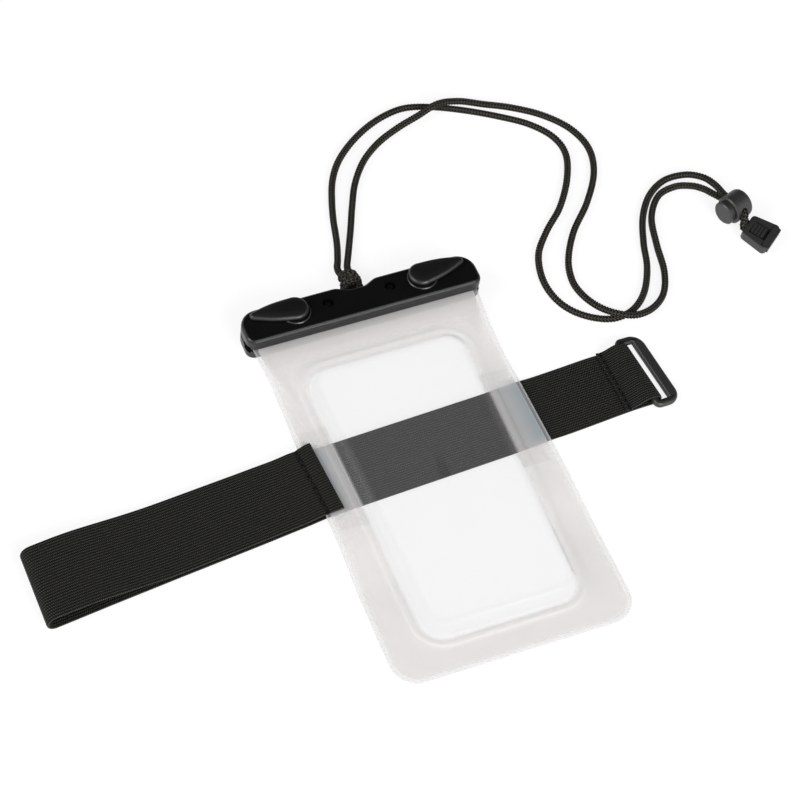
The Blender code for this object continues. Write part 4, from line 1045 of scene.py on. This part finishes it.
    def wall(self) -> list[tuple[float, float]]:
        """Profile of the tray from its foot to its roof.

        Returns:
            Pairs of inset and share of the rise, round at both edges.
        """
        foot, edge = 0.7 * MM, 1.5 * MM
        profile = [(-0.5 * MM, 0.0)]
        for step in range(1, 5):
            angle = math.pi / 2.0 * step / 4
            profile.append((-0.5 * MM + foot * math.sin(angle),
                            0.12 * (1.0 - math.cos(angle))))
        profile.append((1.2 * MM, 0.52))
        for step in range(1, 7):
            angle = math.pi / 2.0 * step / 6
            profile.append((self.wall_run - edge * math.cos(angle) * 1.1,
                            1.0 - 0.24 * (1.0 - math.sin(angle))))
        return profile

    def behind(self, corners: np.ndarray) -> np.ndarray:
        """Strength of the painted shade of the elastic at each place of the flange, with a soft edge,
        as frosted film would show it blurred.
        """
        middle = STRAP_CENTRE_Y + corners[:, 0] * math.tan(STRAP_ANGLE)
        inside = (self.strap_shade_half - np.abs(corners[:, 1] - middle)) / (2.0 * self.blur) + 0.5
        toward = np.clip((np.abs(corners[:, 0]) - self.strap_shade_from) / self.strap_shade_run, 0.0, 1.0)
        soft = np.clip(inside, 0.0, 1.0)
        return soft * soft * (3.0 - 2.0 * soft) * (0.35 + 0.65 * toward)

    def loft(self, name: str, rings: list[np.ndarray], frost: list[float],
             material: Material) -> Object:
        """Loft rings inward, thicken the film and store its zones.

        Args:
            name: Name of the piece.
            rings: Rings of 3-D points from the edge inward.
            frost: Opacity of each ring.
            material: The film.

        Returns:
            The film.
        """
        count = len(rings[0])
        corners = np.vstack(rings)
        piece = mesh_object(name, corners, tube_faces(len(rings), count, caps=(False, True)), material)
        milk = np.repeat(frost, count)
        # Painted shade near the clamp: towards it the frosted film turns grey, and milkier.
        near = np.clip((corners[:, 1] - self.near_from) / self.near_run, 0.0, 1.0)
        see_through = np.clip((self.frosted * 0.5 - milk) / (self.frosted * 0.2), 0.0, 1.0)
        milk = np.where(milk > self.frosted * 0.8, milk + self.near_frost * near, milk)
        # Painted shade of the elastic behind the front film, standing in for its blur through the
        # frosted film.
        behind = self.behind(corners) * (milk > self.frosted * 0.5) * (name == "drawn_front_film")
        set_attribute(piece, "frost", milk + (self.strap_shade_frost - milk) * behind)
        set_attribute(piece, "behind", behind)
        # shade: the clear film's grey tint, and painted shade of the frosted film near the clamp.
        set_attribute(piece, "shade", np.maximum(see_through, 0.5 * near ** 3))
        if sum(face.normal.z * face.area for face in piece.data.polygons) < 0.0:
            piece.data.flip_normals()
        shell = piece.modifiers.new("film", "SOLIDIFY")
        shell.thickness = FILM_THICKNESS
        shell.offset = 1.0
        shell.use_even_offset = True
        apply_modifiers(piece)
        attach(piece, BODY)
        LOG.info("made %s", name)
        return piece

    def border(self, height: Callable[[float], float]) -> tuple[list[np.ndarray], list[float]]:
        """Rings of the welded border, the same on both films."""
        steps = ((0.0, self.cut_edge), (0.5 * MM, self.cut_edge), (0.8 * MM, self.welded),
                 (self.weld - 0.3 * MM, self.welded), (self.weld, self.frosted),
                 (self.weld + 0.6 * MM, self.frosted))
        rings = [self.lift(self.film_ring(inset), height) for inset, _ in steps]
        return rings, [frost for _, frost in steps]

    def front(self, material: Material) -> None:
        """Make the front film with its plinth and drawn tray."""
        rings, frost = self.border(self.flange_height)
        outer = self.film_ring(self.weld + 0.6 * MM)
        inner = self.tray_ring(-self.plinth_run - 0.3 * MM)
        for share in (0.2, 0.4, 0.6, 0.8):
            rings.append(self.lift(outer + (inner - outer) * share, self.flange_height))
            frost.append(self.frosted)
        for inset, share in ((-self.plinth_run - 0.3 * MM, 0.0), (-self.plinth_run, 0.12),
                             (-self.plinth_run + 0.5 * MM, 0.85), (-self.plinth_run + 0.9 * MM, 1.0),
                             (-2.2 * MM, 1.0), (-1.9 * MM, 0.75), (-1.5 * MM, 0.75),
                             (-1.2 * MM, 1.0)):
            rings.append(self.lift(
                self.tray_ring(inset),
                lambda y, part=share: self.flange_height(y) + self.plinth_rise * part,
            ))
            frost.append(self.frosted * (0.9 if inset < -2.0 * MM else 0.75))
        roof = self.tray_height - FILM_THICKNESS

        def climb(y: float, part: float) -> float:
            """Height of the wall at a share of its rise."""
            low = self.flange_height(y) + self.plinth_rise
            return low + (roof - low) * part

        for inset, part in self.wall():
            rings.append(self.lift(self.tray_ring(inset), lambda y, share=part: climb(y, share)))
            frost.append(self.frosted * 0.45 if part < 0.1 else self.clear * 2.0)
        for inset in (6.0 * MM, 12.0 * MM, 22.0 * MM, 34.0 * MM):
            dip = 0.25 * MM * (inset / (34.0 * MM))
            rings.append(self.lift(self.tray_ring(inset), lambda y, sag=dip: roof - sag))
            frost.append(self.clear)
        film = self.loft("drawn_front_film", rings, frost, material)
        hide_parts("front_film")

    def back(self, material: Material) -> None:
        """Make the plain back film."""
        rings, frost = self.border(self.back_height)
        for inset in (-self.plinth_run, -1.2 * MM, 0.4 * MM, 12.0 * MM, 24.0 * MM, 34.0 * MM):
            rings.append(self.lift(self.tray_ring(inset), self.back_height))
            frost.append(self.frosted if inset < 0.0 else self.clear)
        film = self.loft("plain_back_film", rings, frost, material)
        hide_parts("back_film")

    def build(self, material: Material) -> None:
        """Make both films."""
        self.front(material)
        self.back(material)


@dataclass
class Armband:
    """The folded elastic, with its sewn loop, hem and two rows of stitches.

    Args:
        ring_bar_u: Distance of the ring's bar from the middle of the pouch.
        bar_width: Width of that bar.
        loop_gap: Play of the loop round the bar.
        loop_slack: How far the loop stands off the bar.
        lift_u: Where the lower run leaves the table, and where it lies against the films.
        tail_u: End of the sewn tail.
        fold_u: Outermost place of the fold.
        hem_u: Free end, over the pouch's edge.
        climb_u: Where the upper run starts to climb onto the films.
        flare_u: Where the upper run starts to widen towards the hem.
        hem_shift: How far the hem is shifted along the pouch.
        flare: How much wider the hem is.
        fold_radius: Radius of the fold's centre line.
        fold_slope: Where the upper run comes down from the fold.
        patch: Thickness of the hook and loop patches.
        hem_stitch_u: Row of stitches in the hem.
        ring_stitch_u: Row of stitches beside the ring.
        stitch: Length of one stitch.
        stitch_gap: Distance between stitches.
        seam_width: Half width of the dark line along each row: the thread under the stitches, and
            painted shade of the groove between them.
        thread: Half width and half thickness of the flattened thread.
        sunk: How deep the stitches sit under the elastic's surface.
        table_gap: Distance of the elastic from the table.
        stitch_rings: Rings along one stitch.
        stitch_sides: Points round one stitch.
        rib_height: Height of the ribs over the valleys.
        groove: Depth of the groove that the stitches pull, as a share of half the thickness.
        groove_width: Width of that groove.
        hem_swell: How much thicker the hem is, as the same share.
        tail_swell: How much thicker the sewn tail's end is.
        fine_run: Length beside each cut end that is drawn in fine steps.
        fine_step: Distance between two sections there.
        step: Longest distance between two sections elsewhere.
        cut_width: Width of the elastic before it was stretched and sewn; not used.
    """

    ring_bar_u: float = 115.7 * MM
    bar_width: float = 3.4 * MM
    loop_gap: float = 0.4 * MM
    loop_slack: float = 0.3 * MM
    lift_u: tuple[float, float] = (69.0 * MM, 57.0 * MM)
    tail_u: float = 101.8 * MM
    fold_u: float = -202.5 * MM
    hem_u: float = -51.2 * MM
    climb_u: float = -72.0 * MM
    flare_u: float = -62.0 * MM
    hem_shift: float = 1.1 * MM
    flare: float = 1.8 * MM
    fold_radius: float = 4.25 * MM
    fold_slope: tuple[float, float] = (-191.0 * MM, -130.0 * MM)
    patch: float = 0.9 * MM
    hem_stitch_u: float = -59.7 * MM
    ring_stitch_u: float = 103.6 * MM
    stitch: float = 2.6 * MM
    stitch_gap: float = 0.9 * MM
    seam_width: float = 0.65 * MM
    thread: tuple[float, float] = (0.32 * MM, 0.22 * MM)
    sunk: float = 0.35 * MM
    table_gap: float = 0.02 * MM
    stitch_rings: int = 7
    stitch_sides: int = 8
    rib_height: float = 0.16 * MM
    groove: float = 0.8
    groove_width: float = 0.7 * MM
    hem_swell: float = 0.9
    tail_swell: float = 0.6
    fine_run: float = 12.0 * MM
    fine_step: float = 0.35 * MM
    step: float = 1.7 * MM
    cut_width: float = 38.8 * MM

    def frame(self) -> Matrix:
        """Frame of the armband: u along it and v across it."""
        return (Matrix.Translation((0.0, STRAP_CENTRE_Y, 0.0))
                @ Matrix.Rotation(STRAP_ANGLE, 4, "Z"))

    def lay(self, u: float, upper: bool = False) -> tuple[float, float, float]:
        """How the elastic lies at a place.

        Args:
            u: Place along the armband.
            upper: Whether it is the run that ends in the hem.

        Returns:
            Its shift, its lean and its width.
        """
        table = np.array(STRAP_LAY)
        places = u / MM + np.array((-3.0, 0.0, 3.0))
        shift, lean, width = (float(np.interp(places, table[:, 0], table[:, column]).mean())
                              for column in (1, 2, 3))
        share = ease((u - self.flare_u) / (self.hem_u - self.flare_u)) if upper else 0.0
        return shift * MM + self.hem_shift * share, lean, width * MM + self.flare * share

    def lower_run(self) -> list[tuple[float, float]]:
        """Centre line as (u, z), from the sewn tail round the bar and on to the fold."""
        half = STRAP_THICKNESS / 2.0
        table = half + self.table_gap
        under = FILM_STEP + half
        doubled = table + STRAP_THICKNESS + FIT
        reach_out = self.bar_width / 2.0 + self.loop_gap + half
        bar_z = STRAP_THICKNESS + self.loop_gap + self.bar_width / 2.0
        loop_z = bar_z + reach_out
        loop_end = self.ring_bar_u + self.loop_slack
        path = [(self.tail_u, doubled), (self.tail_u + 2.2 * MM, doubled)]
        self.bend(path, (self.ring_bar_u - self.bar_width / 2.0 - self.loop_gap, loop_z), 12)
        middle, rise = (table + loop_z) / 2.0, (loop_z - table) / 2.0
        for step in range(19):
            angle = math.pi / 2.0 - math.pi * step / 18
            path.append((loop_end + reach_out * math.cos(angle), middle + rise * math.sin(angle)))
        table_u, under_u = self.lift_u
        path.append((table_u, table))
        self.bend(path, (under_u, under), 8)
        path.append((-under_u, under))
        self.bend(path, (-table_u, table), 8)
        return path

    def upper_run(self) -> list[tuple[float, float]]:
        """Centre line as (u, z), from the fold to the free hem."""
        half = STRAP_THICKNESS / 2.0
        table = half + self.table_gap
        fold_centre = self.fold_u + self.fold_radius + half
        path = []
        for step in range(21):
            angle = -math.pi / 2.0 - math.pi * step / 20
            path.append((fold_centre + self.fold_radius * math.cos(angle),
                         table + self.fold_radius + self.fold_radius * math.sin(angle)))
        path.append((self.fold_slope[0], path[-1][1]))
        over_patch = table + half + FIT + self.patch + FIT + half
        self.bend(path, (self.fold_slope[1], over_patch), 16)
        path.append((self.climb_u, over_patch))
        over_film = FILM_STEP + STRAP_THICKNESS + FIT + FILM_STEP + FILM_THICKNESS + FIT + half
        self.bend(path, (self.flare_u, over_film), 8)
        path.append((self.hem_u, over_film))
        return path

    def bend(self, path: list[tuple[float, float]], end: tuple[float, float], steps: int) -> None:
        """Add a soft S from the end of a path to another place."""
        start = path[-1]
        for step in range(1, steps + 1):
            share = step / steps
            path.append((start[0] + (end[0] - start[0]) * share,
                         start[1] + (end[1] - start[1]) * ease(share)))

    def section(self) -> list[tuple[float, float]]:
        """Cross-section: shares of half width and half thickness, ribbed on both faces."""
        ribs = np.linspace(0.975, -0.975, ELASTIC_RIBS * 3 + 1)
        height = 1.0 - self.rib_height / STRAP_THICKNESS * (
            1.0 - np.cos(ribs * math.tau * ELASTIC_HALF / ELASTIC_RIB))
        face = list(zip(ribs.tolist(), height.tolist()))
        top = [(1.0, 0.0), (0.997, 0.5), *face, (-0.997, 0.5)]
        return top + [(-share, -up) for share, up in top]

    def thickness(self, u: float, upper: bool, from_end: float) -> tuple[float, float]:
        """Thickness of the elastic above and below its centre line, as shares.

        Args:
            u: Place along the armband.
            upper: Whether it is the run that ends in the hem.
            from_end: Distance from the nearer cut end.

        Returns:
            Shares above and below the centre line.
        """
        end = math.sqrt(max(0.06, 1.0 - (1.0 - min(1.0, from_end / (1.1 * MM))) ** 2))
        if from_end >= self.fine_run:
            return end, end
        if upper:
            swell = self.hem_swell * ease((u - self.hem_stitch_u) / (2.4 * MM))
        else:
            swell = self.tail_swell * ease((self.ring_stitch_u - u) / (1.5 * MM))
        return end * (1.0 + swell) - self.groove * self.near_row(u, upper, self.groove_width), end

    def near_row(self, u: float, upper: bool, width: float) -> float:
        """How near a place is to its row of stitches, 1 on the row."""
        row = self.hem_stitch_u if upper else self.ring_stitch_u
        return math.exp(-((u - row) / width) ** 2)

    def band(self, material: Material) -> tuple[Object, float]:
        """Make the elastic band with yarn coordinates in metres.

        Args:
            material: The elastic.

        Returns:
            The band and its length laid flat.
        """
        line: list[tuple[float, float, bool]] = []
        for run, upper in ((self.lower_run(), False), (self.upper_run(), True)):
            for u, z in run:
                last = line[-1] if line else (u - MM, z, upper)
                gap = math.dist((u, z), last[:2])
                near = min(abs(u - self.hem_u), abs(u - self.tail_u)) < self.fine_run
                steps = max(1, math.ceil(gap / (self.fine_step if near else self.step)))
                for k in range(1, steps + 1) if line else (1,):
                    share = k / steps if line else 1.0
                    line.append((last[0] + (u - last[0]) * share,
                                 last[1] + (z - last[1]) * share, upper))
        centre = np.array([point[:2] for point in line])
        along = np.gradient(centre, axis=0)
        along /= np.linalg.norm(along, axis=1)[:, None]
        walked = np.concatenate([[0.0], np.cumsum(np.linalg.norm(np.diff(centre, axis=0), axis=1))])
        section, frame = self.section(), self.frame()
        corners, yarn, seam = [], [], []
        pitch = self.stitch + self.stitch_gap
        for index, (u, z, upper) in enumerate(line):
            shift, lean, width = self.lay(u, upper)
            top, low = self.thickness(u, upper, min(walked[index], walked[-1] - walked[index]))
            out = np.array((along[index][1], -along[index][0])) * (STRAP_THICKNESS / 2.0)
            outer = (top, low) if along[index][0] < 0.0 else (low, top)
            for share, up in section:
                raised = up * (outer[0] if up > 0.0 else outer[1])
                v = share * width / 2.0
                corners.append(frame @ Vector((u + out[0] * raised + lean * v, shift + v,
                                               z + out[1] * raised)))
                yarn.append((walked[index], share * ELASTIC_HALF))
                # Seam: nearly full dark where a stitch lies, lighter painted shade of the groove
                # between stitches.
                dash = 0.9 if abs((v / pitch) % 1.0 - 0.5) < 0.5 * self.stitch / pitch else 0.35
                sewn = upper or walked[index] < self.fine_run
                seam.append(dash * self.near_row(u, upper, self.seam_width) if sewn else 0.0)
        faces = tube_faces(len(line), len(section), flip=True)
        piece = mesh_object("elastic_band", np.array([tuple(c) for c in corners]), faces, material)
        set_attribute(piece, "seam", np.array(seam))
        layer = piece.data.uv_layers.new(name="yarn")
        index_of = np.empty(len(piece.data.loops), np.int32)
        piece.data.loops.foreach_get("vertex_index", index_of)
        layer.data.foreach_set("uv", np.array(yarn, np.float32)[index_of].ravel())
        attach(piece, BODY)
        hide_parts("strap_band")
        LOG.info("made the elastic band, %.3f m of it", walked[-1])
        return piece, float(walked[-1])

    def stitches(self, name: str, u: float, height: float, upper: bool,
                 material: Material) -> Object:
        """Make one row of stitches across the elastic.

        Args:
            name: Name of the row.
            u: Place of the row along the armband.
            height: Height of the elastic's surface there.
            upper: Whether the row is in the run that ends in the hem.
            material: The thread.

        Returns:
            The row.
        """
        frame = self.frame()
        shift, lean, width = self.lay(u, upper)
        pitch = self.stitch + self.stitch_gap
        count = int((width - 2.0 * MM) / pitch)
        corners: list[Vector] = []
        faces: list[tuple[int, ...]] = []
        for row in range(count):
            middle = (row + 0.5) * pitch - count * pitch / 2.0
            first = len(corners)
            for step in range(self.stitch_rings):
                share = step / (self.stitch_rings - 1)
                v = middle + (share - 0.5) * self.stitch
                swell = math.sin(math.pi * share) ** 0.5 if 0.0 < share < 1.0 else 0.15
                for side in range(self.stitch_sides):
                    angle = math.tau * side / self.stitch_sides
                    du = math.cos(angle) * self.thread[0] * swell
                    dz = math.sin(angle) * self.thread[1] * swell
                    corners.append(frame @ Vector((u + du + lean * v, shift + v, height + dz)))
            faces += [tuple(first + index for index in face)
                      for face in tube_faces(self.stitch_rings, self.stitch_sides)]
        piece = mesh_object(name, np.array([tuple(c) for c in corners]), faces, material)
        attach(piece, BODY)
        LOG.info("sewed %s with %d stitches", name, count)
        return piece

    def build(self, elastic: Material, thread: Material) -> None:
        """Make the band and its rows of stitches."""
        band, length = self.band(elastic)
        hem_top = self.upper_run()[-1][1] + STRAP_THICKNESS / 2.0
        hem = self.stitches("hem_stitches", self.hem_stitch_u, hem_top - self.sunk, True, thread)
        tail_top = STRAP_THICKNESS * 2.0 + FIT + self.table_gap
        tail = self.stitches("ring_stitches", self.ring_stitch_u, tail_top - self.sunk, False, thread)


@dataclass
class ClampLever:
    """A turning lever: a soft domed teardrop on its post.

    Args:
        hub: Radius of its round end.
        tip: Radius of its tip.
        reach: Place of the tip's middle from the axis.
        axis: Distance of its axis from the middle of the clamp, and its place in y.
        base: Height of its underside.
        rise: Thickness of the handle.
        round_off: Radius of its soft edge.
        crown: How far the top swells over the edge.
        under_edge: Height of the small bevel round the underside.
        bulge: How far the straight sides swell.
        post: Radii and heights of the post, from its foot up.
    """

    hub: float = 6.8 * MM
    tip: float = 2.4 * MM
    reach: tuple[float, float] = (20.6 * MM, 1.9 * MM)
    axis: tuple[float, float] = (33.6 * MM, 2.6 * MM)
    base: float = 14.5 * MM
    rise: float = 2.7 * MM
    round_off: float = 2.1 * MM
    crown: float = 0.45 * MM
    under_edge: float = 0.3 * MM
    bulge: float = 0.75 * MM
    post: tuple[tuple[float, float], ...] = (
        (1.2 * MM, 0.8 * MM), (1.2 * MM, 2.7 * MM), (2.0 * MM, 2.7 * MM), (2.0 * MM, 14.5 * MM),
    )

    def outline(self, inset: float, stretch: float = 1.0) -> np.ndarray:
        """Teardrop about the axis, with its sides a little convex.

        Args:
            inset: Distance inside the lever's edge.
            stretch: Share of the reach that the tip keeps.

        Returns:
            Points of the outline, the same count for every inset.
        """
        hub = self.hub - inset
        tip = max(self.tip - inset, 0.12 * MM)
        back = max(0.0, inset - self.tip + 0.12 * MM) * 2.6
        full = math.hypot(*self.reach)
        length = max(full - back, 0.0) * stretch
        heading = math.atan2(self.reach[1], self.reach[0])
        lean = math.acos(min(1.0, (hub - tip) / max(length, hub - tip + 0.01 * MM)))
        round_end = np.linspace(heading + lean, heading + math.tau - lean, 40)
        points = [(hub * math.cos(angle), hub * math.sin(angle)) for angle in round_end]
        middle = (length * math.cos(heading), length * math.sin(heading))
        points += [(middle[0] + tip * math.cos(angle), middle[1] + tip * math.sin(angle))
                   for angle in np.linspace(heading - lean, heading + lean, 14)]
        edge = np.array(points)
        swollen = []
        for start, end in ((edge[39], edge[40]), (edge[53], edge[0])):
            shares = np.linspace(0.0, 1.0, 14)[1:-1, None]
            across = np.array((end[1] - start[1], start[0] - end[0]))
            across /= max(float(np.linalg.norm(across)), 0.001 * MM)
            out = self.bulge * stretch * np.sin(shares * math.pi)
            swollen.append(start + (end - start) * shares + across * out)
        return np.vstack([edge[:40], swollen[0], edge[40:], swollen[1]])

    def build(self, side: int, word: str, material: Material) -> None:
        """Make one lever and let it ride its own body.

        Args:
            side: -1 for the left lever and 1 for the right one.
            word: Which of the two.
            material: The plastic.
        """
        rings = []
        for radius, height in self.post:
            circle = self.outline(0.0, 0.0)
            circle *= radius / np.linalg.norm(circle, axis=1)[:, None]
            rings.append((circle, height))
        rings.append((self.outline(0.35 * MM), self.base))
        rings.append((self.outline(0.0), self.base + self.under_edge))
        edge_top = self.base + self.rise - self.crown
        soft = edge_top - self.base - self.under_edge
        for step in range(1, 9):
            angle = math.pi / 2.0 * step / 9
            rings.append((self.outline(self.round_off * (1.0 - math.cos(angle))),
                          self.base + self.under_edge + soft * math.sin(angle)))
        for inset, share in ((2.3, 0.2), (2.9, 0.45), (3.7, 0.7), (4.7, 0.88), (5.7, 0.97), (6.3, 1.0)):
            rings.append((self.outline(inset * MM), edge_top + self.crown * share))
        count = len(rings[0][0])
        corners = np.vstack([np.column_stack([ring, np.full(count, height)]) for ring, height in rings])
        corners[:, 0] = side * (corners[:, 0] + self.axis[0])
        corners[:, 1] += self.axis[1]
        faces = tube_faces(len(rings), count)
        if side < 0:
            faces = [face[::-1] for face in faces]
        piece = mesh_object(f"domed_lever_{word}", corners, faces, material)
        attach(piece, f"{word}_lever")
        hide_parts(f"lever_{word}")
        LOG.info("made the %s lever", word)


@dataclass
class Studio:
    """Pale table, soft light and the camera at the photograph's angle.

    Args:
        eye: Place of the camera.
        right: Direction to the right of the picture.
        up: Direction to the top of the picture.
        forward: Direction of view.
        lens: Focal length for a sensor 36 mm wide.
        flag: Direction of the dark flag that keeps the black tops deep.
    """

    eye: Point = (-0.39708, -0.79119, 1.16887)
    right: Point = (0.9244, -0.37316, 0.0790)
    up: Point = (0.26308, 0.7737, 0.57635)
    forward: Point = (0.27619, 0.51199, -0.81338)
    lens: float = 132.85
    flag: Point = (0.276, 0.512, 0.813)

    def camera(self) -> None:
        """Place the camera."""
        data = bpy.data.cameras.new("camera")
        data.lens = self.lens
        data.sensor_width = 36.0
        data.clip_start = 0.01
        data.clip_end = 20.0
        obj = bpy.data.objects.new("camera", data)
        back = -Vector(self.forward)
        matrix = Matrix((self.right, self.up, back)).transposed().to_4x4()
        matrix.translation = Vector(self.eye)
        obj.matrix_world = matrix
        bpy.context.scene.collection.objects.link(obj)
        bpy.context.scene.camera = obj

    def floor(self) -> None:
        """Lay the pale table, white to the eye but with a soft shadow."""
        made = bpy.data.materials.new("Pale table")
        made.use_nodes = True
        tree = made.node_tree
        tree.nodes.clear()
        path = add_node(tree, "ShaderNodeLightPath")
        seen = add_node(tree, "ShaderNodeMath", {
            0: path.outputs["Is Camera Ray"], 1: path.outputs["Is Glossy Ray"],
        }, operation="MAXIMUM")
        through = add_node(tree, "ShaderNodeMath", {
            0: seen.outputs[0], 1: path.outputs["Is Transmission Ray"],
        }, operation="MAXIMUM")
        share = add_node(tree, "ShaderNodeMath", {0: through.outputs[0], 1: 0.8},
                         operation="MULTIPLY")
        matt = add_node(tree, "ShaderNodeBsdfDiffuse", {"Color": (0.9, 0.9, 0.9, 1.0)})
        white = add_node(tree, "ShaderNodeEmission", {"Color": (1.0, 1.0, 1.0, 1.0), "Strength": 1.04})
        mixed = add_node(tree, "ShaderNodeMixShader", {
            0: share.outputs[0], 1: matt.outputs[0], 2: white.outputs[0],
        })
        add_node(tree, "ShaderNodeOutputMaterial", {"Surface": mixed.outputs[0]})
        half = 6.0
        corners = np.array([(-half, -half, 0.0), (half, -half, 0.0), (half, half, 0.0),
                            (-half, half, 0.0)])
        corners[:, 2] = -0.1 * MM
        mesh_object("table", corners, [(0, 1, 2, 3)], made)

    def world(self) -> None:
        """Fill the room with soft light, darker behind the flag."""
        world = bpy.data.worlds.new("studio")
        bpy.context.scene.world = world
        world.use_nodes = True
        tree = world.node_tree
        tree.nodes.clear()
        place = add_node(tree, "ShaderNodeTexCoord")
        facing = add_node(tree, "ShaderNodeVectorMath", {
            0: place.outputs["Generated"], 1: self.flag,
        }, operation="DOT_PRODUCT")
        level = add_node(tree, "ShaderNodeMapRange", {
            "Value": facing.outputs["Value"], "From Min": 0.3, "From Max": 0.85,
            "To Min": 0.95, "To Max": 0.02,
        })
        soft = add_node(tree, "ShaderNodeBackground", {
            "Color": (1.0, 1.0, 1.0, 1.0), "Strength": level.outputs["Result"],
        })
        white = add_node(tree, "ShaderNodeBackground", {
            "Color": (1.0, 1.0, 1.0, 1.0), "Strength": 1.0,
        })
        path = add_node(tree, "ShaderNodeLightPath")
        mixed = add_node(tree, "ShaderNodeMixShader", {
            0: path.outputs["Is Camera Ray"], 1: soft.outputs[0], 2: white.outputs[0],
        })
        add_node(tree, "ShaderNodeOutputWorld", {"Surface": mixed.outputs[0]})

    def lamp(self, name: str, place: Point, size: float, power: float) -> None:
        """Hang one softbox that faces the pouch.

        Args:
            name: Name of the lamp.
            place: Where it hangs.
            size: Side of its square face.
            power: Power in watts.
        """
        data = bpy.data.lights.new(name, "AREA")
        data.size = size
        data.energy = power
        obj = bpy.data.objects.new(name, data)
        obj.location = place
        aim = Vector((0.05, -0.05, 0.0)) - Vector(place)
        obj.rotation_euler = aim.to_track_quat("-Z", "Y").to_euler()
        bpy.context.scene.collection.objects.link(obj)

    def build(self) -> None:
        """Set up the floor, the world and the lamps."""
        self.floor()
        self.world()
        self.lamp("front softbox", (0.35, -1.5, 0.95), 0.9, 25.0)
        self.lamp("left softbox", (-1.5, 0.1, 1.1), 1.0, 18.0)
        view = bpy.context.scene.view_settings
        view.view_transform = "Standard"


def main() -> None:
    """Build the scene in order: camera, cords, films, armband, finishes, light."""
    logging.basicConfig(level=logging.INFO, format="%(name)s: %(message)s")
    LOG.info("the frame has %d nodes", len(frame["nodes"]))
    studio = Studio()
    studio.camera()
    Lanyard().build(BraidedYarn().make())
    Pouch().build(ClearFilm("Calendered TPU film").make())
    Armband().build(WovenElastic().make(), SewingThread().make())
    acetal = MouldedPlastic("Moulded satin acetal", "#080808", "#0c0c0c", 0.40).make()
    for side, word in ((-1, "left"), (1, "right")):
        ClampLever().build(side, word, acetal)
    for nodes, finish in (
        (("clamp_front_bar", "clamp_rear_bar"),
         MouldedPlastic("Moulded satin ABS", "#040404", "#070707", 0.34)),
        (("cam_foot_left", "cam_foot_right", "strap_ring", "cord_lock_body", "cord_lock_plunger",
          "end_clip_housing", "end_clip_insert"),
         MouldedPlastic("Moulded satin nylon", "#222221", "#2c2c2b", 0.42)),
        (("seal_strip_front", "seal_strip_rear"),
         MouldedPlastic("Moulded silicone rubber", "#5a5a5a", "#666666", 0.7)),
        (("strap_keeper_left", "strap_keeper_right"),
         ClearFilm("Plain TPU strip", zoned=False, plain_alpha=0.06)),
        (("hook_patch",), BrushedPile("Moulded nylon hooks", "#0a0a0a", "#222222", 0.8 * MM)),
        (("loop_patch",), BrushedPile("Brushed nylon loops", "#0b0b0b", "#2a2a28", 0.5 * MM)),
        (("cord_lock_spring",), DrawnWire()),
    ):
        dress(nodes, finish.make())
    studio.build()


if __name__ == "__main__":
    main()
